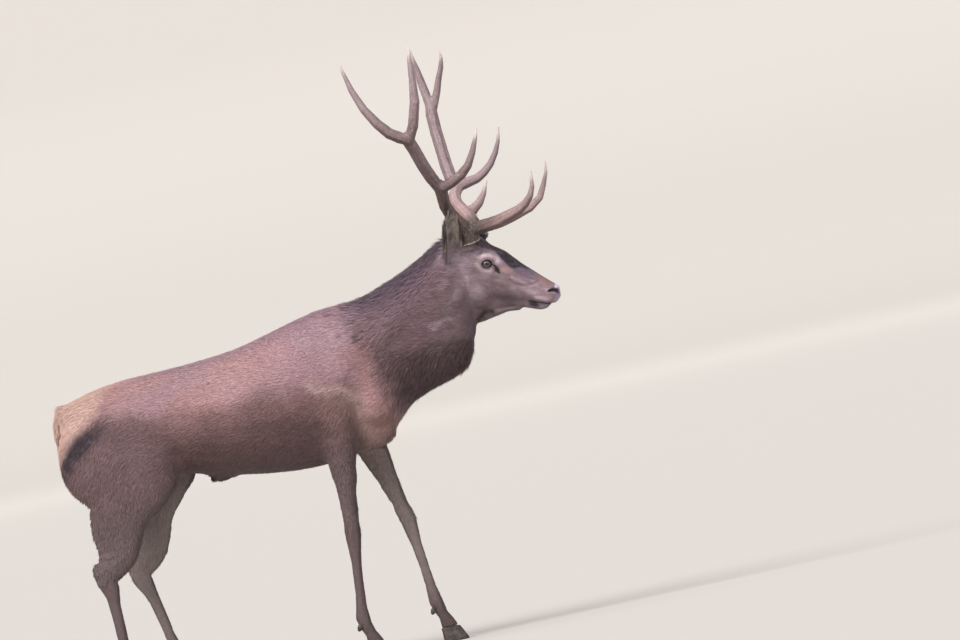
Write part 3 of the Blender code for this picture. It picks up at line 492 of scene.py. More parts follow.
# lines drawn into the head: their course ahead and up, width, depth, and how far out they start
headGrooves = {
    "gland": ([(0.028, 0.003), (0.036, -0.002), (0.045, -0.009), (0.054, -0.0165)], 0.0040, 0.0052, 0.020),
    "mouth": ([(0.1775, -0.082), (0.2325, -0.0735), (0.262, -0.0655)], 0.0022, 0.0034, 0.0),
    "under the jaw": (
        [(0.030, -0.170), (0.039, -0.160), (0.074, -0.1455), (0.106, -0.1315), (0.147, -0.1085)],
        0.0060, 0.0038, 0.010,
    ),
    "front of the chewing muscle": ([(0.030, -0.050), (0.045, -0.085), (0.045, -0.120)], 0.0090, 0.0024, 0.020),
    "behind the jaw": ([(0.066, -0.154), (0.040, -0.166), (0.029, -0.196)], 0.0090, 0.0050, 0.020),
    "above the lip": ([(0.190, -0.064), (0.215, -0.052), (0.232, -0.047)], 0.0040, 0.0012, 0.012),
    "under the eye": ([(-0.002, -0.026), (0.016, -0.024), (0.030, -0.014)], 0.0030, 0.0006, 0.030),
    "below the lip muscle": (
        [(0.096, -0.026), (0.110, -0.036), (0.144, -0.034), (0.176, -0.019), (0.187, -0.005)],
        0.0045, 0.0018, 0.016,
    ),
    "vein": ([(0.060, -0.075), (0.100, -0.066), (0.150, -0.040), (0.185, -0.030)], 0.0024, -0.0010, 0.020),
    "branch of the vein": ([(0.085, -0.068), (0.110, -0.090), (0.125, -0.108)], 0.0022, -0.0008, 0.020),
}
nostril = {"course": [(0.236, -0.027), (0.246, -0.0205), (0.256, -0.0175), (0.268, -0.0205)], "width": 0.0066, "depth": 0.0090}


def sculptedHead(points, normals):
    at = onHead(points)
    at[:, 2] = np.abs(at[:, 2])
    share = places(points)["head"]
    ear = earShare(points)
    rise = np.zeros(len(points))
    for middle, radii, height in headSwellings:
        rise += height * np.exp(-(((at - middle) / radii) ** 2).sum(axis=1))
    for course, width, depth, start in headGrooves.values():
        gap, along = distanceTo(at[:, :2], course)
        ends = ease(along, 0.0, 0.12) * ease(along, 1.0, 0.88) if start > 0 else ease(along, 0.0, 0.1)
        rise -= depth * np.exp(-((gap / width) ** 2)) * ends * (ease(at[:, 2], start * 0.6, start) if start > 0 else 1)
    gap, along = distanceTo(at[:, :2], nostril["course"])
    wide = nostril["width"] * (0.62 + 0.5 * ease(along, 0.0, 0.5))
    opened = ease(at[:, 2], 0.006, 0.011)
    rise += 0.0014 * np.exp(-(((gap - wide * 1.7) / 0.0022) ** 2)) * ease(along, 0.0, 0.2) * opened
    rise -= nostril["depth"] * np.exp(-((gap / wide) ** 4)) * opened
    rise -= 0.0012 * np.exp(-((at[:, 2] / 0.0014) ** 2)) * ease(at[:, 0], 0.240, 0.252) * ease(at[:, 1], -0.064, -0.05)
    return points + normals * (rise * share * (1 - ear))[:, None]


# swellings and folds of the body, from home: x, distance from the middle, z; radii; height
bodySwellings = [
    ((-0.660, 0.130, 1.085), (0.050, 0.050, 0.040), 0.0075),  # hip point
    ((-0.550, 0.160, 1.000), (0.110, 0.080, 0.090), -0.0100),  # flank
    ((-0.040, 0.170, 0.880), (0.070, 0.060, 0.110), 0.0060),  # upper arm
    ((0.020, 0.120, 1.060), (0.022, 0.080, 0.110), 0.0040),  # ridge of the shoulder blade
    ((-0.040, 0.130, 1.060), (0.030, 0.080, 0.110), -0.0040),  # behind that ridge
    ((0.100, 0.110, 0.930), (0.060, 0.060, 0.060), 0.0050),  # point of the shoulder
    ((-0.860, 0.150, 0.900), (0.070, 0.060, 0.120), 0.0060),  # thigh
    ((-0.180, 0.160, 1.000), (0.050, 0.080, 0.140), -0.0050),  # behind the shoulder
    ((0.280, 0.100, 1.120), (0.120, 0.060, 0.050), 0.0060),  # muscle of the neck
]
bodyGrooves = [
    ([(-0.100, 0.990), (-0.087, 0.965), (-0.010, 0.941), (0.034, 0.896), (0.041, 0.795)], 0.016, -0.0060),
    ([(-0.075, 0.930), (-0.005, 0.905), (0.012, 0.850), (0.005, 0.790)], 0.020, 0.0055),
    ([(-0.130, 0.860), (-0.110, 0.800), (-0.060, 0.775)], 0.022, 0.0060),  # behind the elbow
    ([(-0.950, 1.000), (-0.930, 0.860), (-0.880, 0.700)], 0.026, 0.0050),  # back of the thigh
    ([(0.430, 1.110), (0.320, 1.010), (0.210, 0.890), (0.150, 0.830)], 0.024, 0.0070),  # along the windpipe
    ([(-0.560, 0.930), (-0.620, 0.820), (-0.640, 0.740)], 0.030, 0.0060),  # before the thigh
    ([(0.120, 1.190), (0.090, 1.080), (0.110, 0.970)], 0.026, 0.0045),  # where the neck meets the shoulder
]
ribs = {"from": -0.56, "to": -0.16, "spacing": 0.052, "height": 0.0011}


def sculptedBody(points, normals):
    at = points - home
    at[:, 1] = np.abs(at[:, 1])
    body = 1 - places(points)["head"]
    rise = np.zeros(len(points))
    for middle, radii, height in bodySwellings:
        rise += height * np.exp(-(((at - middle) / radii) ** 2).sum(axis=1))
    outer = ease(np.abs(normals[:, 1]), 0.15, 0.55)
    for course, width, depth in bodyGrooves:
        gap, along = distanceTo(at[:, [0, 2]], course)
        rise -= depth * np.exp(-((gap / width) ** 2)) * ease(along, 0.0, 0.25) * ease(along, 1.0, 0.75) * outer
    wave = np.cos((at[:, 0] + 0.35 * at[:, 2]) * 2 * math.pi / ribs["spacing"])
    ribbed = ease(at[:, 0], ribs["from"], ribs["from"] + 0.1) * ease(at[:, 0], ribs["to"], ribs["to"] - 0.1)
    rise += ribs["height"] * wave * ribbed * ease(at[:, 2], 0.75, 0.82) * ease(at[:, 2], 1.08, 0.98) * outer
    return points + normals * (rise * body)[:, None]


def makeSkin():
    skin = skinForm()
    finer(skin, places(pointsOf(skin.data))["head"] > 0.6)
    joinedEars(skin)
    for reach, eyeReach in ((0.060, 0.050), (0.038, 0.030)):
        points = pointsOf(skin.data)
        at = onHead(points)
        close = np.minimum(*(np.linalg.norm(points - eyeMiddle[side], axis=1) for side in sides)) < eyeReach
        muzzle = (at[:, 0] > 0.262 - reach * 1.5) & (at[:, 1] > -0.095)
        mouth = (distanceTo(at[:, :2], headGrooves["mouth"][0])[0] < 0.009) & (reach == 0.060)
        finer(skin, close | (muzzle if reach == 0.060 else (at[:, 0] > 0.222) & (at[:, 1] > -0.075)) | mouth)
    mesh = skin.data
    points, edges = pointsOf(mesh), edgesOf(mesh)
    points = relaxed(points, edges, 8, places(points)["head"] * (1 - earShare(points)))
    at = onHead(points)
    brow = np.exp(-((np.abs(at - (0.0, 0.035, 0.0)) - (0.0, 0.0, 0.055)) ** 2 @ np.ones(3)) / 0.025**2)
    points = relaxed(points, edges, 12, np.maximum(brow, ease(at[:, 0], 0.20, 0.23)) * 0.8, 0.0)
    for side in sides:  # the seam where the ear leaves the head
        along, out, _ = onEar(points, side)
        seam = ease(along, -0.25, -0.1) * ease(along, 0.22, 0.08) * (out < 0.05)
        points = relaxed(points, edges, 16, seam, -0.2)
    placePoints(mesh, points)
    points = sculptedBody(points, normalsOf(mesh))
    points = sculptedHead(points, normalsOf(mesh))
    for side in sides:
        points = withLids(points, side)
        rim, _, _ = opening(points, side)
        around = ease(rim, 1.35, 1.7) * (np.linalg.norm(points - eyeMiddle[side], axis=1) < 0.055)
        points = relaxed(points, edges, 14, around, 0.0)
    placePoints(mesh, points)
    mesh.shade_smooth()
    print("skin", len(mesh.polygons), "faces")
    return skin


# colours are written as they are picked, 0 to 255, and turned to light values
def picked(*shade):
    return np.array([(c / 255 / 12.92) if c / 255 <= 0.04045 else ((c / 255 + 0.055) / 1.055) ** 2.4 for c in shade])


def picks(shades):
    return {name: picked(*shade) for name, shade in shades.items()}


coatColours = picks({
    "flank": (166, 131, 134),
    "back": (166, 129, 129),
    "grey": (150, 126, 136),
    # belly, under and thigh carry painted shade under the body as well as the coat's own darker tones
    "belly": (116, 88, 88),
    "under": (92, 70, 69),
    "shoulder": (160, 127, 133),
    "patch": (122, 95, 91),
    "arc": (170, 142, 138),
    "withers": (137, 110, 122),
    "crest": (70, 56, 68),
    "neck": (113, 90, 96),
    "neckDark": (70, 54, 55),
    "brisket": (154, 121, 115),
    "red": (168, 124, 118),
    "rump": (190, 157, 146),
    "rumpEdge": (48, 39, 48),
    "thigh": (112, 88, 90),
    "leg": (96, 81, 80),
    "legFront": (82, 68, 66),
    "inner": (150, 136, 130),
    "face": (136, 116, 123),
    "cheek": (104, 86, 90),
    "jaw": (84, 70, 74),
    "bridge": (106, 90, 106),
    "forehead": (50, 42, 53),
    "brow": (222, 200, 210),
    "pale": (182, 162, 172),
    "rust": (140, 106, 104),
    "chin": (130, 118, 123),
    "earBack": (128, 110, 106),
    "earHair": (181, 167, 159),
    "earRim": (62, 52, 52),
    "olive": (106, 90, 84),
    "pink": (182, 148, 148),
    "dark": (36, 28, 31),
    "pad": (150, 130, 154),
    "padHighlight": (214, 204, 222),
})


def painted(base, colour, share):
    return base + (colour - base) * share[:, None]


def laid(base, tones, layers):
    # colours laid over one another in turn, each by its own share
    for name, share in layers:
        base = painted(base, tones[name], share)
    return base


def swirl(points, scale, seed):
    # smooth noise, about -1 to 1
    return np.array([noise.noise(point) for point in points * scale + seed * 7.31])


shoulderFold = [(-0.110, 0.985), (-0.087, 0.965), (-0.010, 0.941), (0.034, 0.896), (0.041, 0.795)]


def bodyColour(points, normals, where, wander, fine):
    x, y, z = (points - home).T
    reach = np.abs(y)
    x = x + 0.018 * wander
    z = z + 0.014 * fine
    fold, _ = distanceTo(np.stack([x, z], axis=1), shoulderFold)
    inside = np.exp(-(((x + 0.035) / 0.060) ** 2 + ((z - 0.860) / 0.075) ** 2))
    beyond = where["beyond"] + 0.022 * wander + 0.012 * fine
    ridge = ease(reach, 0.135, 0.04) * ease(normals[:, 2], 0.1, 0.6)
    streaks = ease(swirl(points * (0.35, 1, 1), 60.0, 5), 0.15, 0.5)
    # the rump patch lies round the tail and is drawn down between the thighs, with a dark edge below
    slanted = ((x + 0.829) - (z - 1.112) * 1.027) * 0.70
    patchEdge = slanted - 0.13 * ease(reach, 0.085, 0.03) * ease(x, -0.90, -0.97) + 0.007 * fine
    edge = np.exp(-(((patchEdge - 0.036) / 0.034) ** 2)) * (0.55 + 0.45 * fine)
    edge *= np.exp(-(((z - 0.955) / 0.062) ** 2)) + 0.5 * np.exp(-(((z - 0.87) / 0.06) ** 2))
    return laid(np.tile(coatColours["flank"], (len(points), 1)), coatColours, [
        ("back", ease(z - 0.06 * x, 1.02, 1.16)),
        ("shoulder", ease(x, -0.36, -0.12)),
        ("grey", ease(swirl(points * (0.6, 1, 1), 5.0, 4), 0.0, 0.45) * 0.55),
        ("red", ease(swirl(points * (0.5, 1, 1), 7.0, 41), -0.05, 0.40) * 0.45),
        # belly and underside darker downwards: partly the coat's own darker belly, partly painted shade under the body
        ("belly", ease(z + 0.03 * wander, 1.035, 0.925) * ease(x, 0.06, -0.02)),
        ("under", ease(z + 0.03 * wander, 0.935, 0.85) * ease(x, 0.06, -0.02)),
        # lower thigh darker: partly its own tone, partly painted shade
        ("thigh", ease(x, -0.60, -0.78) * ease(z, 1.055, 0.96)),
        # shoulder: a dark patch inside a pale fold
        ("patch", np.clip(inside * 0.9, 0, 1)),
        ("arc", np.exp(-((fold / 0.016) ** 2)) * 0.8),
        # neck: dark, with a darker crest; darkest low and in front, partly the coat's own dark and partly painted shade
        ("neck", ease(beyond, -0.06, 0.19)),
        ("neckDark", ease(beyond, 0.0, 0.11) * ease(z - 0.55 * x, 1.05, 0.94) * (0.85 + 0.15 * fine)),
        ("brisket", ease(z + 0.30 * x, 0.93, 0.84) * ease(x, -0.02, 0.08)),
        ("withers", ridge * ease(x, -0.80, -0.55) * 0.75),
        ("crest", ridge * ease(beyond, 0.0, 0.12) * 0.85),
        ("neckDark", streaks * ease(beyond, -0.10, 0.0) * ease(beyond, 0.16, 0.05) * ease(z, 1.00, 1.10) * 0.6),
        ("rumpEdge", np.clip(edge * 1.9, 0, 0.94)),
        ("rump", ease(patchEdge + 0.014 * wander, 0.026, -0.020) * ease(z, 0.76, 0.84)),
        ("back", ease(reach, 0.020, 0.006) * ease(patchEdge, 0.006, -0.012) * ease(z, 1.03, 1.07) * 0.6),
        ("rump", where["tail"] * 0.9),
        # legs: greyer, darker in front, pale inside
        ("leg", where["leg"]),
        ("legFront", where["leg"] * ease(normals[:, 0], 0.2, 0.8) * 0.8),
        ("inner", ease(normals[:, 1] * -np.sign(y), 0.3, 0.8) * ease(z, 0.95, 0.80) * 0.55 * ease(z, 0.1, 0.3)),
        ("legFront", ease(z, 0.16, 0.08) * 0.7),
    ])


# where the grey of the bridge begins, and the dark above it: height by distance ahead of the eyes
bridgeEdge = ([0.05, 0.105, 0.145, 0.185, 0.22], [0.02, 0.0, -0.010, -0.006, 0.01])
foreheadEdge = (
    [-0.02, 0.0, 0.02, 0.036, 0.075, 0.096, 0.125, 0.165],
    [0.062, 0.053, 0.046, 0.034, 0.0125, 0.0115, 0.020, 0.026],
)


def faceColour(points, fine):
    ahead, up, out = onHead(points).T
    out = np.abs(out)
    place = np.stack([ahead, up], axis=1)
    fleck = swirl(onHead(points) * (0.32, 1, 1), 150.0, 3)
    blotch = swirl(onHead(points) * (0.6, 1, 1), 46.0, 31)

    def spot(middle, radii):
        return np.exp(-(((place - middle) / radii) ** 2).sum(axis=1))

    def stripe(course, width, power=2):
        return np.exp(-((distanceTo(place, course)[0] / width) ** power))

    beside = ease(out, 0.022, 0.036)
    bridge = np.interp(ahead, *bridgeEdge)
    dark = np.interp(ahead, *foreheadEdge) + 0.0035 * fine
    ring = np.exp(-(((np.hypot(ahead / 1.30, up) - 0.0235) / 0.0060) ** 2))
    slit, slitAlong = distanceTo(place, headGrooves["gland"][0])
    slitWide = 0.0030 + 0.0072 * np.sin(math.pi * slitAlong**1.3)
    corner = np.exp(-(((ahead - 0.022) / 0.006) ** 2 + ((up - 0.004) / 0.003) ** 2))
    mouthCornerShade = np.exp(-((((place - (0.198, -0.0868)) / (0.022, 0.0118)) ** 2).sum(axis=1) ** 2))
    pad = padShare(points)
    face = laid(np.tile(coatColours["face"] * 0.94, (len(points), 1)), coatColours, [
        ("rust", ease(blotch, 0.10, 0.50) * 0.45),
        ("pale", ease(-blotch, 0.10, 0.50) * 0.35),
        ("cheek", ease(ahead, 0.11, 0.02) * ease(up, -0.05, -0.09) * 0.9),
        ("cheek", ease(ahead, 0.06, 0.10) * ease(ahead, 0.20, 0.15) * ease(up, -0.050, -0.070) * 0.7),
        ("pale", spot((0.034, -0.036), (0.036, 0.013)) * 0.20),
        ("cheek", spot((0.060, -0.056), (0.050, 0.009)) * 0.70),
        ("pale", spot((0.004, -0.096), (0.026, 0.024)) * 0.50),
        ("jaw", spot((0.095, -0.100), (0.062, 0.028)) * 0.95),
        ("olive", spot((-0.030, -0.024), (0.018, 0.024)) * 0.75),
        ("pale", spot((-0.064, -0.012), (0.026, 0.022)) * 0.65),
        ("pale", spot((-0.052, -0.080), (0.024, 0.028)) * 0.45),
        ("bridge", ease(up, bridge - 0.003, bridge + 0.004) * ease(ahead, 0.06, 0.09)
         * ease(ahead, 0.225, 0.19) * np.clip(0.75 + 0.6 * fleck, 0, 1)),
        ("rust", ease(up, -0.014, -0.002) * ease(ahead, 0.165, 0.195) * ease(ahead, 0.250, 0.232) * 0.8),
        ("forehead", np.clip(ease(up, dark - 0.002, dark + 0.003) * (0.92 + 0.55 * fleck)
                             * ease(ahead, 0.175, 0.125), 0, 1)),
        ("forehead", ease(ahead, 0.03, -0.005) * ease(up, 0.044, 0.054) * ease(ahead, -0.07, -0.04) * 0.7),
        ("brow", stripe([(-0.024, 0.016), (-0.012, 0.028), (0.008, 0.033), (0.026, 0.029), (0.037, 0.018)], 0.0085)
         * (beside * 0.9)),
        ("brow", ring * ease(up, 0.002, -0.012) * beside * 0.35),
        ("pink", spot((0.069, -0.001), (0.020, 0.010)) * 0.85),
        ("pale", stripe([(0.100, -0.020), (0.145, -0.026), (0.172, -0.028)], 0.0060) * 0.45),
        # dark line along the crease below the lip muscle: painted shade
        ("cheek", stripe(headGrooves["below the lip muscle"][0], 0.0042) * 0.75),
        ("pale", spot((0.178, -0.046), (0.024, 0.010)) * 0.50),
        ("dark", ease(swirl(points, 190.0, 32), 0.25, 0.5) * spot((0.219, -0.030), (0.012, 0.016)) * 0.8),
        ("dark", np.exp(-((slit / slitWide) ** 4)) * beside),
        ("dark", corner * beside * 0.8),
        ("pale", stripe([(0.055, -0.154), (0.100, -0.134), (0.150, -0.112)], 0.0080) * 0.25),
        # painted shadow behind the jaw's angle and under the jaw
        ("dark", stripe(headGrooves["behind the jaw"][0], 0.0115) * 0.95 * ease(out, 0.01, 0.03)),
        ("neck", ease(ahead, -0.06, -0.12) * ease(up, -0.02, -0.08)),
        ("pale", ease(swirl(points, 26.0, 6), 0.1, 0.45) * ease(ahead, -0.02, -0.06) * ease(ahead, -0.14, -0.09) * 0.3),
        ("chin", ease(ahead, 0.186, 0.212) * ease(up, -0.074, -0.082)),
        # painted shade in the mouth's corner and along the gap between the lips
        ("dark", mouthCornerShade * 0.97),
        ("dark", stripe(headGrooves["mouth"][0], 0.0036) * 0.95),
        ("pale", stripe([(0.200, -0.062), (0.235, -0.058)], 0.0060) * 0.7),
        ("pad", pad),
        # painted highlight along the top of the nose pad
        ("padHighlight", pad * np.exp(-(((up + 0.004) / 0.007) ** 2))),
        # painted shade inside the nostrils
        ("dark", nostrilShare(points, 0.0072)),
    ])
    return face * (1 + 0.10 * fine[:, None] + 0.16 * fleck[:, None])


def earColour(points, normals, side):
    # dark rim, pale hair inside
    along, away, _ = onEar(points, side)
    inner = ease(normals @ unit(earOpening[side]), -0.1, 0.5)
    crease = np.exp(-(((swirl(points, 30.0, 8) * 0.006 + away - 0.010) / 0.007) ** 2))
    rim = np.maximum(ease(away, 0.0270, 0.0320) * 0.9, ease(along, 0.86, 1.0) * 0.7)
    return laid(np.tile(coatColours["earBack"], (len(points), 1)), coatColours, [
        ("earHair", inner * 0.9),
        ("dark", inner * crease * 0.95 * ease(along, 0.92, 0.6)),
        ("cheek", inner * ease(swirl(points, 45.0, 9), 0.1, 0.4) * 0.6),
        ("earRim", rim * ease(along, 0.15, 0.35)),
    ])


def coatColour(points, normals):
    # the markings of the skin and of the tufts that grow on it
    where = places(points)
    wander = swirl(points, 9.0, 1)
    fine = swirl(points, 34.0, 2)
    colour = bodyColour(points, normals, where, wander, fine)
    colour = painted(colour, faceColour(points, fine), where["head"])
    for side in sides:
        along, away, _ = onEar(points, side)
        share = ease(along, 0.05, 0.20) * (away < 0.055) * (along < 1.2)
        colour = painted(colour, earColour(points, normals, side), share)
        root = np.exp(-(((along + 0.02) / 0.12) ** 2 + (away / 0.035) ** 2))
        colour = painted(colour, coatColours["pale"], root * 0.95)
    return np.clip(colour * (1 + 0.05 * wander[:, None]), 0.004, 1)


def nostrilShare(points, wide):
    # 1 inside a nostril, falling off at its edge
    ahead, up, out = onHead(points).T
    gap, along = distanceTo(np.stack([ahead, up], axis=1), nostril["course"])
    return np.exp(-((gap / (wide * (0.62 + 0.5 * ease(along, 0.0, 0.5)))) ** 4)) * ease(np.abs(out), 0.0065, 0.0105)


def padShare(points):
    # the bare nose: from between the nostrils down to the lip
    at = onHead(points)
    ahead, up, out = at[:, 0], at[:, 1], np.abs(at[:, 2])
    pad = ease(ahead - 0.3 * out + 0.25 * np.maximum(0, -0.03 - up), 0.2395, 0.2445)
    pad = pad * ease(up, -0.060, -0.055) * ease(out, 0.034, 0.030)
    return pad * ease(ahead * 0.6 + up, 0.085, 0.095)


def lidShare(points):
    share = np.zeros(len(points))
    for side in sides:
        rim, _, _ = opening(points, side)
        near = np.linalg.norm(points - eyeMiddle[side], axis=1) < 0.04
        share = np.maximum(share, near * ease(rim, 1.25, 1.12))
    return share


def paint(mesh, colours, name="coatColour"):
    layer = mesh.color_attributes.new(name=name, type="FLOAT_COLOR", domain="POINT")
    values = np.ones((len(colours), 4), np.float32)
    values[:, :3] = colours
    layer.data.foreach_set("color", values.ravel())


def weigh(mesh, name, values):
    kind = "FLOAT" if np.ndim(values) == 1 else "FLOAT_VECTOR"
    layer = mesh.attributes.new(name=name, type=kind, domain="POINT")
    layer.data.foreach_set("value" if kind == "FLOAT" else "vector", np.asarray(values, np.float32).ravel())


# shader sums: a number on a socket that can be written with + - * /
class Level:
    def __init__(self, finish, socket):
        self.finish, self.socket = finish, socket

    def of(self, operation, *others):
        made = self.finish.node("ShaderNodeMath", {"operation": operation}, dict(enumerate(others)))
        return Level(self.finish, made.outputs[0])

    def __add__(self, other):
        return self.of("ADD", self, other)

    def __radd__(self, other):
        return self.of("ADD", other, self)

    def __sub__(self, other):
        return self.of("SUBTRACT", self, other)

    def __rsub__(self, other):
        return self.of("SUBTRACT", other, self)

    def __mul__(self, other):
        return self.of("MULTIPLY", self, other)

    def __rmul__(self, other):
        return self.of("MULTIPLY", other, self)

    def __truediv__(self, other):
        return self.of("DIVIDE", self, other)

    def __rtruediv__(self, other):
        return self.of("DIVIDE", other, self)

    def __pow__(self, other):
        return self.of("POWER", self, other)

    def step(self, low, high):
        settings = {"interpolation_type": "SMOOTHSTEP", "clamp": True}
        ranged = self.finish.node("ShaderNodeMapRange", settings, {"Value": self, "From Min": low, "From Max": high})
        return Level(self.finish, ranged.outputs[0])


class Finish:
    # a material and the way its nodes are made
    def __init__(self, name, **constants):
        self.material = bpy.data.materials.new(name)
        self.material.use_nodes = True
        self.tree = self.material.node_tree
        self.shader = self.tree.nodes["Principled BSDF"]
        for socket, value in constants.items():
            self.shader.inputs[socket.replace("_", " ")].default_value = value

    def node(self, kind, settings=None, inputs=None):
        made = self.tree.nodes.new(kind)
        for key, value in (settings or {}).items():
            if key == "stops":
                while len(made.color_ramp.elements) < len(value):
                    made.color_ramp.elements.new(0.5)
                for stop, (place, colour) in zip(made.color_ramp.elements, value):
                    stop.position, stop.color = place, (*colour, 1)
            else:
                setattr(made, key, value)
        for key, value in (inputs or {}).items():
            self.feed(made.inputs[key], value)
        return made

    def feed(self, socket, value):
        if isinstance(value, Level):
            self.tree.links.new(value.socket, socket)
        elif isinstance(value, bpy.types.NodeSocket):
            self.tree.links.new(value, socket)
        elif socket.type == "RGBA":
            socket.default_value = (*value, 1) if len(value) == 3 else value
        else:
            socket.default_value = value

    def set(self, **inputs):
        for name, value in inputs.items():
            self.feed(self.shader.inputs[name.replace("_", " ")], value)

    def level(self, name):
        return Level(self, self.node("ShaderNodeAttribute", {"attribute_name": name}).outputs["Fac"])

    def vector(self, name):
        return self.node("ShaderNodeAttribute", {"attribute_name": name}).outputs["Vector"]

    def colour(self, name="coatColour"):
        return self.node("ShaderNodeAttribute", {"attribute_name": name}).outputs["Color"]

    def place(self):
        return self.node("ShaderNodeTexCoord").outputs["Object"]

    def noise(self, where, scale, detail=3, roughness=0.55):
        made = self.node("ShaderNodeTexNoise", {}, {"Vector": where, "Scale": scale, "Detail": detail, "Roughness": roughness})
        return Level(self, made.outputs["Fac"])

    def stretched(self, where, along):
        return self.node("ShaderNodeVectorMath", {"operation": "MULTIPLY"}, {0: where, 1: along}).outputs[0]

    def mixed(self, share, first, second, blend="MIX"):
        made = self.node("ShaderNodeMix", {"data_type": "RGBA", "blend_type": blend, "clamp_factor": True})
        self.feed(made.inputs[0], share)
        self.feed(made.inputs[6], first)
        self.feed(made.inputs[7], second)
        return made.outputs[2]

    def shaded(self, colour, level, low, high):
        # multiplies a colour by a grey that runs from low to high
        grey = self.node("ShaderNodeValToRGB", {"stops": [(0.25, (low,) * 3), (0.75, (high,) * 3)]}, {0: level}).outputs[0]
        return self.mixed(1.0, colour, grey, "MULTIPLY")

    def bump(self, height, distance, strength=1.0, under=None):
        inputs = {"Height": height, "Distance": distance, "Strength": strength}
        if under is not None:
            inputs["Normal"] = under
        return self.node("ShaderNodeBump", {}, inputs).outputs[0]


# the coat: tufts of hair in metres; width, how far they lift in degrees, and how thick they grow
tuftKinds = {
    "trunk": {"length": 0.020, "width": 0.0028, "lift": 9, "cover": 2.6, "ridge": 0.0005},
    "neck": {"length": 0.034, "width": 0.0029, "lift": 13, "cover": 3.2, "ridge": 0.0006},
    "rump": {"length": 0.024, "width": 0.0028, "lift": 10, "cover": 2.8, "ridge": 0.0005},
    "leg": {"length": 0.018, "width": 0.0030, "lift": 8, "cover": 2.2, "ridge": 0.0004},
    "shank": {"length": 0.0105, "width": 0.0022, "lift": 7, "cover": 1.9, "ridge": 0.0},
    "face": {"length": 0.0062, "width": 0.0012, "lift": 10, "cover": 0.90, "ridge": 0.0},
    "poll": {"length": 0.0125, "width": 0.0019, "lift": 12, "cover": 1.5, "ridge": 0.0},
    "ear": {"length": 0.0060, "width": 0.0012, "lift": 6, "cover": 1.2, "ridge": 0.0},
    "lash": {"length": 0.0085, "width": 0.0006, "lift": 28, "cover": 1, "ridge": 0.0},
    "whisker": {"length": 0.030, "width": 0.0004, "lift": 40, "cover": 1, "ridge": 0.0},
}


def lieOfCoat(points, normals):
    # the way the hair runs: back along the face and neck, back and down over the trunk, down the legs
    x, _, z = (points - home).T
    where = places(points)
    ahead, up, out = onHead(points).T

    def blend(base, way, share):
        return base + (np.asarray(way, float) - base) * share[:, None]

    lie = np.tile([-1.0, 0.0, -0.16], (len(points), 1))
    lie = blend(lie, (-0.80, 0, -0.75), ease(z, 1.00, 0.80) * ease(x, -0.20, -0.05))
    lie = blend(lie, (-0.75, 0, -0.62), ease(z, 0.92, 0.76) * ease(x, -0.05, -0.25))
    lie = blend(lie, (-0.60, 0, -0.80), ease(x, -0.72, -0.92) * ease(z, 1.10, 0.98))
    neckWay = np.stack([-0.80 + 0 * x, 0 * x, -0.35 - 0.75 * ease(z - 0.9 * x, 1.10, 0.75)], axis=1)
    lie = lie + (neckWay - lie) * where["neck"][:, None]
    lie = blend(lie, (-0.30, 0, -1.0), ease(z, 0.84, 0.66))
    lie = blend(lie, (-0.10, 0, -1.0), where["shank"])
    lie = blend(lie, (-0.25, 0, -1.0), where["tail"])
    backwards = -np.tile(headAhead, (len(points), 1)) - headUp * (0.35 * ease(up, 0.02, -0.08))[:, None]
    backwards += headSide * (np.sign(out) * 0.18 * ease(ahead, 0.15, 0.0))[:, None]
    crown = ease(ahead, 0.07, 0.0) * ease(np.abs(out), 0.035, 0.015) * ease(up, 0.02, 0.05)
    backwards = blend(backwards, headUp * 0.8 - headAhead * 0.6, crown)
    lie = lie + (backwards - lie) * where["head"][:, None]
    for side in sides:
        root, tip = ears[side]
        along, away, _ = onEar(points, side)
        share = ease(along, 0.0, 0.15) * (away < 0.055) * (along < 1.15)
        lie = lie + (unit(tip - root) - lie) * share[:, None]
    turn = np.stack([swirl(points, 6.0, 11), swirl(points, 6.0, 12), swirl(points, 6.0, 13)], axis=1)
    lie = unit(lie) + turn * 0.22
    lie -= normals * (lie * normals).sum(axis=1)[:, None]
    return unit(lie)


def tuftPlaces(skin, kind, chosen, share):
    # roots spread evenly over the chosen triangles, thinned by share
    mesh = skin.data
    points, triangles, normals = pointsOf(mesh), trianglesOf(mesh), normalsOf(mesh)
    triangles = triangles[chosen]
    corners = points[triangles]
    area = np.linalg.norm(np.cross(corners[:, 1] - corners[:, 0], corners[:, 2] - corners[:, 0]), axis=1) / 2 * share
    make = tuftKinds[kind]
    count = int(area.sum() * make["cover"] / (make["length"] * make["width"] * 0.62))
    steps = (np.arange(count) + rng.random(count)) / count * area.sum()
    index = np.minimum(np.searchsorted(np.cumsum(area), steps), len(area) - 1)
    a, b = rng.random(count), rng.random(count)
    a, b = np.where(a + b > 1, 1 - a, a), np.where(a + b > 1, 1 - b, b)
    mix = np.stack([1 - a - b, a, b], axis=1)[..., None]
    return (corners[index] * mix).sum(axis=1), unit((normals[triangles[index]] * mix).sum(axis=1))


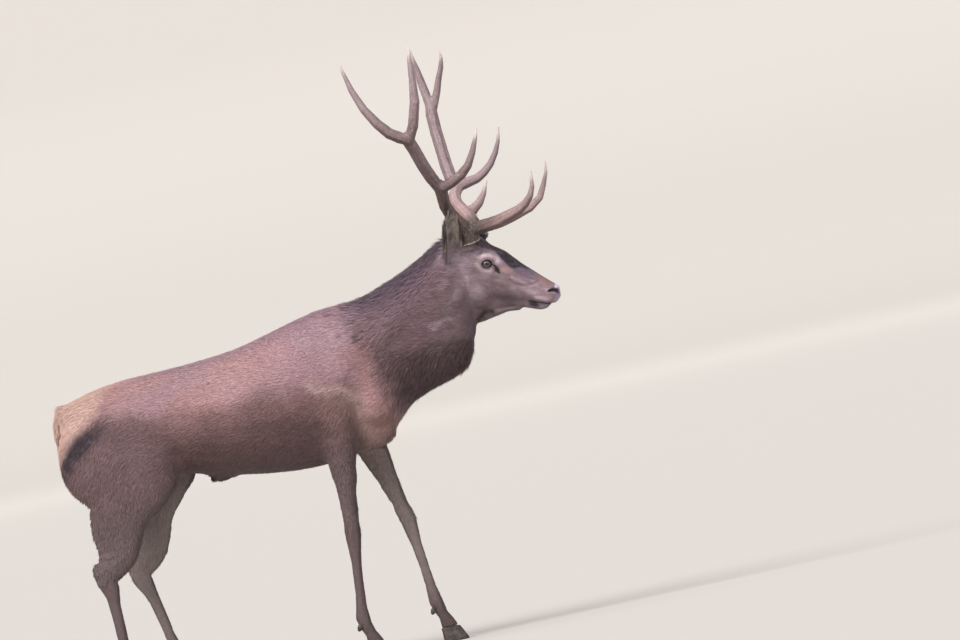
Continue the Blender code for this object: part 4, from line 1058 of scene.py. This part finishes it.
def growTufts(name, kinds, material, unwrap):
    # kinds: (kind, roots, normals, what differs); each tuft is a thin pointed blade that starts just under the skin
    verts, faces, colours, shading, uvs, start = [], [], [], [], [], 0
    for kind, roots, normals, extra in kinds:
        make = dict(tuftKinds[kind])
        make.update(extra.get("make", {}))
        count = len(roots)
        lie = extra["lie"](roots, normals) if "lie" in extra else lieOfCoat(roots, normals)
        across = np.cross(normals, lie)
        sway = rng.normal(0, 0.13, count)[:, None]
        lie, across = unit(lie + across * sway), unit(across - lie * sway)
        length = (make["length"] * np.exp(rng.normal(0, 0.16, count)) * extra.get("longer", np.ones(count)))[:, None]
        width = (make["width"] * np.exp(rng.normal(0, 0.12, count)))[:, None]
        lift = np.radians(make["lift"] * np.exp(rng.normal(0, 0.25, count)))[:, None]
        sunk = normals * np.minimum(length * 0.04, 0.0008)
        half = lie * length * 0.5 * np.cos(lift) + normals * length * 0.5 * np.sin(lift) * 1.15
        end = lie * length * np.cos(lift) + normals * length * np.sin(lift) * 0.85
        ridge = normals * make["ridge"]
        left, right = -across * width / 2, across * width / 2
        # tint darkens each blade towards its root, as painted shade deep in the coat, and lightens its tip a little
        if make["ridge"]:
            rows = [left - sunk, ridge - sunk, right - sunk, half + left * 0.85, half + ridge * 1.2, half + right * 0.85, end]
            shape = [(0, 1, 4), (0, 4, 3), (1, 2, 5), (1, 5, 4), (3, 4, 6), (4, 5, 6)]
            tint = [0.72, 0.72, 0.72, 1.0, 1.04, 1.0, 1.10]
        else:
            rows = [left - sunk, right - sunk, half + left * 0.8, half + right * 0.8, end]
            shape = [(0, 1, 3), (0, 3, 2), (2, 3, 4)]
            tint = [0.78, 0.78, 1.0, 1.0, 1.08]
        size = len(rows)
        verts.append((roots[:, None] + np.stack(rows, axis=1)).reshape(-1, 3))
        base = start + np.arange(count)[:, None, None] * size
        faces.append((base + np.array(shape)[None, :, ::-1]).reshape(-1, 3))
        start += count * size
        shade = np.exp(rng.normal(0, extra.get("vary", 0.085), count))[:, None, None] * np.array(tint)[None, :, None]
        warm = 1 + rng.normal(0, 0.018, count)[:, None, None] * np.array([1, 0, -1])
        base = extra["colour"](roots, normals) if "colour" in extra else coatColour(roots, normals)
        colours.append((base[:, None] * shade * warm).reshape(-1, 3))
        sideways = np.stack([np.sign((row * across).sum(axis=1)) for row in rows], axis=1)[..., None]
        # the shading leans with the skin and rounds each blade a little
        shading.append(unit(unit(normals)[:, None] + across[:, None] * sideways * 0.35 + (lie * -0.12)[:, None]).reshape(-1, 3))
        flat = [
            np.stack([(row * across).sum(axis=1) / width[:, 0], (row * lie).sum(axis=1) / length[:, 0] - 0.5], axis=1)
            for row in rows
        ]
        uvs.append((unwrap(roots)[:, None] + np.stack(flat, axis=1) * 0.003).reshape(-1, 2))
    verts, faces, colours, shading, uvs = (np.concatenate(part) for part in (verts, faces, colours, shading, uvs))
    mesh = bpy.data.meshes.new(name)
    mesh.vertices.add(len(verts))
    mesh.vertices.foreach_set("co", verts.astype(np.float32).ravel())
    mesh.loops.add(faces.size)
    mesh.loops.foreach_set("vertex_index", faces.astype(np.int32).ravel())
    mesh.polygons.add(len(faces))
    mesh.polygons.foreach_set("loop_start", np.arange(0, faces.size, 3, dtype=np.int32))
    mesh.update(calc_edges=True)
    paint(mesh, np.clip(colours, 0, 1))
    layer = mesh.uv_layers.new(name="OFBake")
    layer.uv.foreach_set("vector", uvs[faces.ravel()].astype(np.float32).ravel())
    piece = newObject(name, mesh, material)
    soft = mesh.attributes.new("custom_normal", "FLOAT_VECTOR", "POINT")
    soft.data.foreach_set("vector", shading.astype(np.float32).ravel())
    print("coat", name, len(faces), "faces")
    return piece


def wrapAround(middleLine):
    # an unwrap of the skin's own shape: how far along a line, and how far round it
    middleLine = np.asarray(middleLine, float)

    def unwrap(points):
        _, along = distanceTo(points, middleLine)
        lengths = np.linalg.norm(np.diff(middleLine, axis=0), axis=1)
        marks = np.concatenate([[0], np.cumsum(lengths)]) / lengths.sum()
        centre = np.stack([np.interp(along, marks, column) for column in middleLine.T], axis=1)
        way = unit(middleLine[-1] - middleLine[0])
        side = unit(np.cross(way, (0.13, 0.21, 0.97)) if abs(way[2]) < 0.9 else np.cross(way, (0.97, 0.1, 0.2)))
        away = points - centre
        angle = np.arctan2(away @ np.cross(way, side), away @ side) / (2 * math.pi) + 0.5
        spread = 0.02 + 0.96 * along
        return np.stack([0.01 + 0.98 * angle, np.clip(spread, 0.01, 0.99)], axis=1)

    return unwrap


# finishes
def skinFinish():
    made = Finish("skin", Roughness=0.7, Specular_IOR_Level=0.25)
    place = made.place()
    pad, lid = made.level("pad"), made.level("lid")
    grain = made.noise(made.stretched(made.vector("grain"), (0.16, 1, 1)), 900, 2)
    mottle = made.noise(place, 70)
    colour = made.shaded(made.shaded(made.colour(), grain, 0.80, 1.12), mottle, 0.90, 1.06)
    pebble = made.node("ShaderNodeTexVoronoi", {"feature": "SMOOTH_F1"}, {"Vector": place, "Scale": 620, "Smoothness": 0.4})
    pebbles = Level(made, pebble.outputs["Distance"])
    colour = made.mixed(pad, colour, made.shaded(made.colour(), pebbles, 1.15, 0.75))
    colour = made.mixed(lid, colour, tuple(coatColours["dark"] * 0.7))
    wet = made.noise(place, 160)
    rough = 0.74 - pad * (0.40 + wet * 0.12) - lid * 0.36
    made.set(Base_Color=colour, Roughness=rough)
    hair = made.bump(grain, 0.0007, 0.8)
    made.set(Normal=made.bump((1 - pebbles) * pad, 0.0006, 0.9, hair))
    return made.material


def coatFinish():
    made = Finish("coat", Roughness=0.68, Specular_IOR_Level=0.28, Sheen_Weight=0.12, Sheen_Roughness=0.5)
    fleck = made.noise(made.place(), 240, 2)
    made.set(Base_Color=made.shaded(made.colour(), fleck, 0.88, 1.10))
    return made.material


def antlerFinish():
    made = Finish("antler", Roughness=0.5, Specular_IOR_Level=0.4, Coat_Roughness=0.35)
    place = made.place()
    stain = made.noise(place, 26)
    speck = made.noise(place, 420, 2)
    pearls = made.noise(place, 300, 1)
    along = made.noise(made.vector("grain"), 1.0, 4)
    colour = made.shaded(made.shaded(made.colour(), stain, 0.82, 1.12), along, 0.72, 1.16)
    colour = made.shaded(made.shaded(colour, speck, 0.90, 1.08), pearls, 0.74, 1.26)
    made.set(Base_Color=colour, Roughness=0.36 + along * 0.26)
    made.set(Normal=made.bump(pearls, 0.0011, 0.8, made.bump(along, 0.0012, 0.7)))
    return made.material


def eyeFinish():
    made = Finish("eye", Roughness=0.16, Specular_IOR_Level=0.4, Coat_Weight=0.15, Coat_Roughness=0.04)
    look = made.node("ShaderNodeSeparateXYZ", {}, {0: made.node("ShaderNodeUVMap", {"uv_map": "eyePlane"}).outputs[0]})
    a, b = Level(made, look.outputs[0]) - 0.5, Level(made, look.outputs[1]) - 0.5
    pupil = ((a / 0.19) ** 2 + (b / 0.125) ** 2).step(1.2, 0.8)
    ringed = a * a + b * b
    iris = ringed.step(0.128, 0.108)
    flat = made.node("ShaderNodeCombineXYZ", {}, {0: a, 1: b}).outputs[0]
    spokes = made.noise(made.node("ShaderNodeVectorMath", {"operation": "NORMALIZE"}, {0: flat}).outputs[0], 22, 3)
    irisColour = made.mixed(ringed.step(0.03, 0.11), tuple(picked(100, 87, 88)), tuple(picked(62, 52, 54)))
    irisColour = made.shaded(irisColour, spokes, 0.6, 1.35)
    colour = made.mixed(iris, tuple(picked(30, 24, 24)), irisColour)
    colour = made.mixed(pupil, colour, tuple(picked(10, 10, 14)))
    made.set(Base_Color=colour)
    return made.material


def hoofFinish():
    made = Finish("hoof", Roughness=0.45, Specular_IOR_Level=0.4)
    place = made.place()
    rings = made.noise(made.stretched(place, (0.25, 0.25, 1)), 230, 3)
    streak = made.noise(made.stretched(place, (1, 1, 0.12)), 320, 2)
    dirt = made.noise(place, 45)
    colour = made.mixed(dirt.step(0.4, 0.7), tuple(picked(52, 45, 42)), tuple(picked(84, 74, 66)))
    colour = made.shaded(made.shaded(colour, streak, 0.8, 1.15), rings, 0.85, 1.1)
    made.set(Base_Color=colour, Roughness=0.38 + dirt * 0.3)
    made.set(Normal=made.bump(rings, 0.0009, 0.8, made.bump(streak, 0.0004, 0.5)))
    return made.material


# antlers: branches drawn together and their forks filled out, grooved lightly, pearled low down, ivory at the tips
antlerMake = {
    "voxel": 0.0026, "overlap": 0.0006, "passes": 24, "corePasses": 110, "web": 150, "webMost": 0.013,
    "groove": 0.0006, "bead": 0.0010, "burrWide": 1.12, "burr": 0.0034, "burrHeight": 0.0030, "tip": 0.060,
}
antlerColours = picks({
    # the right antler's darker tones and the left's paler pink stand for one antler colour, painted shaded on the right
    # and lit on the left
    "right": (124, 104, 104),
    "left": (132, 112, 116),
    "rightLow": (108, 88, 84),
    "leftLow": (164, 136, 134),
    # foot: the antler's own darker base together with painted shade
    "foot": (84, 72, 66),
    "crown": (146, 127, 130),
    "tip": (210, 198, 190),
    "pearl": (186, 164, 160),
    "burr": (196, 182, 168),
    # groove: the dark of the grooves, used also for painted shade on the undersides and under the burr
    "groove": (58, 46, 48),
})


def webbed(mesh, points, edges):
    # hollows swell outwards until each fork runs round in a curve; nothing moves further than webMost
    start = points.copy()
    for turn in range(antlerMake["web"]):
        if turn % 6 == 0:
            placePoints(mesh, points)
            normals = normalsOf(mesh)
        hollow = np.maximum(((neighbourMean(points, edges) - points) * normals).sum(axis=1), 0)
        room = ease(np.linalg.norm(points - start, axis=1), antlerMake["webMost"], antlerMake["webMost"] * 0.7)
        points = points + normals * (hollow * room * 0.95)[:, None]
    return relaxed(points, edges, 8, np.ones(len(points)), -0.5)


def makeAntler(side, material):
    names = [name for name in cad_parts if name.startswith(f"antler_{side}_")]
    bm = cadCopy(names, antlerMake["overlap"])
    foot, way, radius = antlerFoot[side]
    turn = Vector(way).to_track_quat("Z", "Y").to_matrix().to_4x4()
    wide = radius * antlerMake["burrWide"]
    place = Matrix.Translation(foot + way * 0.020) @ turn
    bmesh.ops.create_cone(bm, cap_ends=True, segments=32, radius1=wide, radius2=radius * 0.96, depth=0.050, matrix=place)
    piece = fused(f"antler_{side}", bm, antlerMake["voxel"])
    piece.modifiers.new("triangles", "TRIANGULATE")
    mesh = applied(piece).data
    edges = edgesOf(mesh)
    points = relaxed(pointsOf(mesh), edges, antlerMake["passes"], np.ones(len(mesh.vertices)))
    points = webbed(mesh, points, edges)
    core = points.copy()
    for _ in range(antlerMake["corePasses"]):
        core += (neighbourMean(core, edges) - core) * 0.8
    roundWay = unit(points - core)
    tips = []
    for name in names:
        if name.endswith(("base", "upper")):
            continue
        tine = pointsOf(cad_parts[name].data)
        tips.append(tine[np.argmax(np.linalg.norm(tine - foot, axis=1))])
    toTip = np.min([np.linalg.norm(points - tip, axis=1) for tip in tips], axis=0)
    height = (points - foot) @ way
    nearFoot = np.linalg.norm(points - foot, axis=1)
    low = ease(nearFoot, 0.34, 0.06)
    placePoints(mesh, points)
    normals = normalsOf(mesh)
    grain = roundWay * 3.1 + core * 5.0
    groove = swirl(grain, 1.0, 21) + 0.6 * swirl(grain, 2.3, 22)
    smoothTip = ease(toTip, 0.03, 0.14)
    pearl = np.maximum(swirl(points, 210.0, 23), 0)
    knobs = 0.65 + 0.8 * swirl(roundWay * 6.4, 1.0, 24)
    atBurr = np.exp(-(((height + 0.003 - 0.0056 * knobs) / antlerMake["burrHeight"]) ** 2)) * (nearFoot < wide * 2)
    rise = groove * antlerMake["groove"] * smoothTip
    rise += pearl * antlerMake["bead"] * (0.35 + 0.65 * low) * smoothTip + atBurr * antlerMake["burr"] * np.clip(knobs, 0.3, 1.5)
    points = points + normals * rise[:, None]
    placePoints(mesh, points)
    ahead = (points - foot) @ headAhead
    colour = laid(np.tile(antlerColours[side], (len(points), 1)), antlerColours, [
        # painted light and shade: the right antler darker low down, the left one and the forward branches of both paler
        # pink, as lit
        (side + "Low", ease(nearFoot, 0.33, 0.22)),
        ("leftLow", ease(ahead, 0.045, 0.085) * ease(nearFoot, 0.40, 0.30) * 0.75),
        ("crown", ease(points[:, 2], 1.75, 1.95)),
        # darker towards the foot: partly the antler's own darker base, partly painted shade
        ("foot", ease(nearFoot, 0.105, 0.060)),
        ("groove", ease(-groove, 0.15, 0.7) * 0.45 * smoothTip),
        ("pearl", ease(pearl, 0.12, 0.45) * 0.28 * smoothTip),
        ("crown", ease(toTip, 0.16, 0.07) * 0.6),
        ("tip", ease(toTip, antlerMake["tip"], 0.012) * 0.95),
        # painted shade on the downward-facing undersides
        ("groove", ease(normals[:, 2], 0.0, -0.7) * 0.6),
        ("burr", np.clip(atBurr * 2.2 - 1.2, 0, 1) * 0.9),
        # painted shadow just under the burr
        ("groove", ease(height, -0.003, -0.006) * (nearFoot < wide * 2) * 0.85),
    ])
    paint(mesh, colour)
    weigh(mesh, "grain", grain)
    dressed(mesh, material)
    kept(piece, "antler", *names)
    print("antler", side, len(mesh.polygons), "faces")


def makeEye(side, material):
    bm = bmesh.new()
    look, slit, across = eyeDirections(side)
    turn = Matrix((slit, across * (1 if np.cross(slit, across) @ look > 0 else -1), look)).transposed().to_4x4()
    place = Matrix.Translation(eyeMiddle[side]) @ turn
    bmesh.ops.create_uvsphere(bm, u_segments=64, v_segments=40, radius=eyeShape["radius"] - 0.0004, matrix=place)
    layer = bm.loops.layers.uv.new("eyePlane")
    for face in bm.faces:
        for loop in face.loops:
            away = np.array(loop.vert.co) - eyeMiddle[side]
            loop[layer].uv = (0.5 + away @ slit / eyeShape["radius"] / 2, 0.5 + away @ across / eyeShape["radius"] / 2)
    # the clear front stands a little proud of the ball
    for corner in bm.verts:
        away = np.array(corner.co) - eyeMiddle[side]
        proud = math.exp(-(((1 - away @ look / eyeShape["radius"]) / 0.16) ** 2)) * 0.0006
        corner.co += Vector(unit(away) * proud)
    mesh = bpy.data.meshes.new(f"eyeball_{side}")
    bm.to_mesh(mesh)
    bm.free()
    piece = newObject(f"eyeball_{side}", mesh, material)
    kept(piece, "eye", f"eye_{side}")


# hooves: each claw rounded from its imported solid, with its sole kept flat
hoofMake = {"voxel": 0.0016, "dewclawVoxel": 0.0011, "passes": 12}


def makeClaw(leg, claw, material):
    name = f"{leg}_{claw}"
    main = "dewclaw" not in claw
    piece = fused(f"{name}_horn", cadCopy([name], 0.0), hoofMake["voxel" if main else "dewclawVoxel"])
    mesh = piece.data
    low, high = (np.array(corner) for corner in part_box(name))
    start = pointsOf(mesh)
    points = relaxed(start, edgesOf(mesh), hoofMake["passes"], np.ones(len(start)))
    if main:
        height = points[:, 2] - low[2]
        wave = np.sin(height / 0.0042 * 2 * math.pi) * 0.00022 * ease(height, 0.004, 0.010)
        placePoints(mesh, points)
        points = points + normalsOf(mesh) * wave[:, None]
        points[:, 2] = np.where(start[:, 2] < low[2] + 0.003, low[2], np.maximum(points[:, 2], low[2]))
    points = np.clip(points, low, high)
    placePoints(mesh, points)
    dressed(mesh, material)
    kept(piece, "hoof", name)


def legLine(leg):
    # foot, knee or hock, and the top of a leg
    low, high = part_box(f"{leg}_lower")
    lower = pointsOf(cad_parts[f"{leg}_lower"].data)
    upper = pointsOf(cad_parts[f"{leg}_upper"].data)
    chosen = (
        lower[lower[:, 2] < low[2] + 0.02],
        lower[lower[:, 2] > high[2] - 0.03],
        upper[upper[:, 2] > upper[:, 2].max() - 0.08],
    )
    return np.array([points.mean(axis=0) for points in chosen])


def lashRoots():
    # lashes along the upper lid of each eye
    roots, ways = [], []
    for side in sides:
        look, slit, across = eyeDirections(side)
        for share in np.linspace(-0.85, 0.75, 34):
            a = share * eyeShape["halfWidth"] / eyeShape["radius"]
            b = (1 - abs(share) ** 1.7) ** (1 / 1.7) * eyeShape["upper"] / eyeShape["radius"] * 1.06
            turn = math.hypot(a, b)
            way = look * math.cos(turn) + (slit * a + across * b) / turn * math.sin(turn)
            roots.append(eyeMiddle[side] + way * (eyeShape["radius"] + eyeShape["lid"] * 0.9))
            ways.append(unit(look + across * 0.35 + slit * share * 0.5))
    roots, ways = np.array(roots), np.array(ways)
    normals = unit(np.cross(np.cross(ways, np.array((0, 0, 1.0))), ways))
    dark = lambda points, normals: np.tile(coatColours["dark"] * 0.8, (len(points), 1))
    return ("lash", roots, normals, {"lie": lambda points, normals: ways, "colour": dark})


def whiskerRoots():
    # a few long stiff hairs about the lips and chin
    roots, ways = [], []
    for side in sides:
        for _ in range(15):
            ahead, up = rng.uniform(0.195, 0.245), rng.uniform(-0.085, -0.045)
            roots.append(fromHead(ahead, up, (0.026 - 0.25 * max(0, -up - 0.062)) * sides[side]))
            ways.append(unit(headSide * sides[side] * 0.7 + headAhead * rng.uniform(-0.1, 0.6) - headUp * rng.uniform(0.2, 0.9)))
    roots, ways = np.array(roots), np.array(ways)
    normals = unit(np.cross(np.cross(ways, headAhead), ways))
    pale = lambda points, normals: np.tile(coatColours["chin"], (len(points), 1))
    return ("whisker", roots, normals, {"lie": lambda points, normals: ways, "colour": pale})


def faceLonger(ahead):
    # the hair of the face is shortest on the muzzle
    return 0.62 + 0.75 * ease(ahead, 0.24, 0.02)


def growCoat(skin, material):
    mesh = skin.data
    points, triangles, normals = pointsOf(mesh), trianglesOf(mesh), normalsOf(mesh)
    middle = points[triangles].mean(axis=1)
    facing = unit(normals[triangles].mean(axis=1))
    x, y, z = (middle - home).T
    where = places(middle)
    head, beyond = where["head"], where["beyond"]
    ahead, up, out = onHead(middle).T
    ear = earShare(middle)
    rims = [opening(middle, side)[0] + 9 * (np.linalg.norm(middle - eyeMiddle[side], axis=1) > 0.05) for side in sides]
    bareEye = ease(np.minimum(*rims), 1.16, 1.5)
    holes = np.clip(1 - padShare(middle) * 1.4, 0, 1)
    gapMouth, _ = distanceTo(np.stack([ahead, up], axis=1), headGrooves["mouth"][0])
    gapSlit, _ = distanceTo(np.stack([ahead, up], axis=1), headGrooves["gland"][0])
    bare = bareEye * holes * ease(nostrilShare(middle, 0.0085), 0.4, 0.1)
    bare = bare * ease(gapMouth, 0.0018, 0.005) * ease(gapSlit + 9 * (np.abs(out) < 0.03), 0.0048, 0.0075)
    claws = ease(z, 0.050, 0.058)
    for foot in antlerFoot.values():
        bare = bare * ease(np.linalg.norm(middle - foot[0] - foot[1] * 0.004, axis=1), foot[2] * 0.9, foot[2] * 1.1)
    isHead, isLeg = head > 0.5, (z < 0.70) & (head < 0.5)
    isNeck = (beyond > 0.03) & ~isHead & ~isLeg
    isTrunk = ~isHead & ~isLeg & ~isNeck
    right = y < 0
    line = lambda *stops: np.array(stops) + home
    trunkLine = line((-1.06, 0, 0.95), (0.15, 0, 0.98))
    neckLine = line((0.0, 0, 0.98), (0.50, 0.0, 1.28))
    headLine = np.array([fromHead(-0.16, -0.05, 0), fromHead(0.28, -0.03, 0)])

    def roots(kind, chosen, share=None):
        chosen = np.flatnonzero(chosen)
        weight = np.ones(len(chosen)) if share is None else share[chosen]
        return (kind, *tuftPlaces(skin, kind, chosen, weight))

    def piece(name, kinds, unwrap):
        kept(growTufts(name, kinds, material, unwrap), "coat")

    unwrapTrunk = wrapAround(trunkLine)
    cuts = [(-2.0, -0.80, "rump"), (-0.80, -0.42, "trunk"), (-0.42, 0.5, "trunk")]
    for low, high, kind in cuts:
        for side, mine in (("right", right), ("left", ~right)):
            chosen = isTrunk & (x >= low) & (x < high) & mine
            name = f"coat_{'rump' if kind == 'rump' else 'flank' if high < 0 else 'shoulder'}_{side}"
            piece(name, [(*roots(kind, chosen), {})], unwrapTrunk)
    for side, mine in (("right", right), ("left", ~right)):
        piece(f"coat_neck_{side}", [(*roots("neck", isNeck & mine), {"vary": 0.15})], wrapAround(neckLine))
    for legName in legNames:
        low, high = (np.array(corner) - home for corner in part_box(f"{legName}_upper"))
        lowest, highest = (np.array(corner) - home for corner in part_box(f"{legName}_lower"))
        mine = isLeg & (y * sides[legName.split("_")[1]] > 0)
        mine &= (x > min(low[0], lowest[0]) - 0.05) & (x < max(high[0], highest[0]) + 0.05)
        mine &= (x > -0.35) if "fore" in legName else (x <= -0.35)
        kinds = [(*roots("leg", mine & (z >= 0.46), claws), {}), (*roots("shank", mine & (z < 0.46), claws), {})]
        piece(f"coat_{legName}", kinds, wrapAround(legLine(legName)))
    poll = isHead & (ear < 0.5) & (ahead < -0.025)
    face = isHead & (ear < 0.5) & (ahead >= -0.025)
    faceRoots = roots("face", face, bare / faceLonger(ahead))
    pollRoots = roots("poll", poll, bare)
    pollPlace = onHead(pollRoots[1])
    pollLonger = 1 + 1.5 * ease(pollPlace[:, 0], -0.06, -0.14) + 0.5 * ease(pollPlace[:, 1], 0.03, 0.06)
    kinds = [
        (*pollRoots, {"longer": pollLonger, "vary": 0.16}),
        (*faceRoots, {"longer": faceLonger(onHead(faceRoots[1])[:, 0]), "vary": 0.13}),
        lashRoots(),
        whiskerRoots(),
    ]
    piece("coat_head", kinds, wrapAround(headLine))
    earKinds = []
    for side in sides:
        root, tip = ears[side]
        mine = (ear > 0.4) & (np.linalg.norm(middle - (root + tip) / 2, axis=1) < 0.15)
        outer = roots("ear", mine)
        edge = ease(onEar(outer[1], side)[1], 0.020, 0.028)
        earKinds.append((*outer, {"longer": 1 - 0.45 * edge}))
        # long pale hair fills the inside
        inner = mine & (facing @ unit(earOpening[side]) > 0.0)
        along, away, _ = onEar(middle, side)
        share = ease(along, 0.92, 0.7) * ease(away, 0.034, 0.027)
        kind = roots("ear", inner, share * 0.55)
        shorter = 1 - 0.6 * ease(onEar(kind[1], side)[1], 0.012, 0.024)
        earKinds.append((*kind, {"make": {"length": 0.015, "width": 0.0011, "lift": 8}, "longer": shorter}))
    piece("coat_ears", earKinds, wrapAround(ears["right"]))


# the scene
skin = makeSkin()
skinPoints, skinNormals = pointsOf(skin.data), normalsOf(skin.data)
paint(skin.data, coatColour(skinPoints, skinNormals))
weigh(skin.data, "pad", padShare(skinPoints))
weigh(skin.data, "lid", lidShare(skinPoints))
headPlace = onHead(skinPoints)
lower = places(skinPoints)["head"][:, None]
weigh(skin.data, "grain", headPlace * lower + (skinPoints - home)[:, [2, 0, 1]] * (1 - lower))
skin.data.materials.clear()
skin.data.materials.append(skinFinish())
kept(skin, "coat", *fleshNodes, "ear_right", "ear_left")
growCoat(skin, coatFinish())
antlerMaterial, eyeMaterial, hoofMaterial = antlerFinish(), eyeFinish(), hoofFinish()
for side in sides:
    makeAntler(side, antlerMaterial)
    makeEye(side, eyeMaterial)
for leg in legNames:
    for claw in ("claw_inner", "claw_outer", "dewclaw_inner", "dewclaw_outer"):
        makeClaw(leg, claw, hoofMaterial)
print("hooves made")


# floor, light and camera: the floor runs far enough to fill the view from every side
studio = {
    "floor": picked(194, 190, 185), "backdrop": picked(176, 173, 168),
    "behind": 112.0, "curve": 5.0, "wall": 10.0, "halfWide": 210.0, "front": -210.0,
}
# the camera: where it stands from home, how far off, the width it sees there, and its roll
view = {"place": (0.503, -45, 1.083), "far": 45, "wide": 3.36, "roll": 12, "clipEnd": 400}


def makeStudio():
    bm = bmesh.new()
    corner = bm.verts.new((-studio["halfWide"], studio["front"], 0))
    start = bm.verts.new((-studio["halfWide"], studio["behind"], 0))
    bm.edges.new((corner, start))
    centre = (0, studio["behind"], studio["curve"])
    spun = bmesh.ops.spin(
        bm, geom=[start], cent=centre, axis=(1, 0, 0), dvec=(0, 0, 0), angle=math.pi / 2, steps=24, use_duplicate=False
    )
    last = [found for found in spun["geom_last"] if isinstance(found, bmesh.types.BMVert)]
    rim = bmesh.ops.extrude_vert_indiv(bm, verts=last)["verts"]
    bmesh.ops.translate(bm, verts=rim, vec=(0, 0, studio["wall"]))
    wide = bmesh.ops.extrude_edge_only(bm, edges=bm.edges[:])["geom"]
    edge = [found for found in wide if isinstance(found, bmesh.types.BMVert)]
    bmesh.ops.translate(bm, verts=edge, vec=(studio["halfWide"] * 2, 0, 0))
    bmesh.ops.remove_doubles(bm, verts=bm.verts, dist=1e-5)
    bmesh.ops.recalc_face_normals(bm, faces=bm.faces)
    mesh = bpy.data.meshes.new("floor")
    bm.to_mesh(mesh)
    bm.free()
    plain = Finish("floorPaint", Roughness=1.0, Specular_IOR_Level=0.0)
    height = Level(plain, plain.node("ShaderNodeSeparateXYZ", {}, {0: plain.place()}).outputs[2])
    band = height.step(-0.12, 0.30) - height.step(1.6, 5.0)
    plain.set(Base_Color=plain.mixed(band, tuple(studio["floor"]), tuple(studio["backdrop"])))
    newObject("floor", mesh, plain.material)


def addLight(name, come, strength, spread, tint):
    # broad soft light that comes from one way, as from a wide screen far off
    lamp = bpy.data.lights.new(name, "SUN")
    lamp.energy, lamp.angle, lamp.color = strength, math.radians(spread), tint
    made = bpy.data.objects.new(name, lamp)
    made.location = Vector(home) + Vector(come)
    made.rotation_euler = (-Vector(come)).to_track_quat("-Z", "Y").to_euler()
    bpy.context.scene.collection.objects.link(made)


def lightAndCamera():
    addLight("key", (-6.5, -9.0, 8.5), 3.3, 42, (1.0, 0.97, 0.95))
    addLight("fill", (9.0, -13.0, 4.0), 0.95, 50, (0.93, 0.95, 1.0))
    addLight("top", (0.0, -1.0, 11.5), 1.5, 70, (1.0, 0.98, 0.98))
    world = bpy.data.worlds.new("studio")
    world.use_nodes = True
    world.node_tree.nodes["Background"].inputs[0].default_value = (0.92, 0.91, 0.92, 1)
    world.node_tree.nodes["Background"].inputs[1].default_value = 0.34
    scene = bpy.context.scene
    scene.world = world
    scene.view_settings.view_transform = "Standard"
    camera = bpy.data.cameras.new("camera")
    camera.sensor_width, camera.lens, camera.clip_end = 36, 36 * view["far"] / view["wide"], view["clipEnd"]
    made = bpy.data.objects.new("camera", camera)
    roll = math.radians(view["roll"])  # only the camera is tipped: the stag stands on level ground
    across = Vector((math.cos(roll), 0, -math.sin(roll)))
    upward = Vector((math.sin(roll), 0, math.cos(roll)))
    turn = Matrix((across, upward, across.cross(upward))).transposed().to_4x4()
    made.matrix_world = Matrix.Translation(Vector(home) + Vector(view["place"])) @ turn
    scene.collection.objects.link(made)
    scene.camera = made


makeStudio()
lightAndCamera()
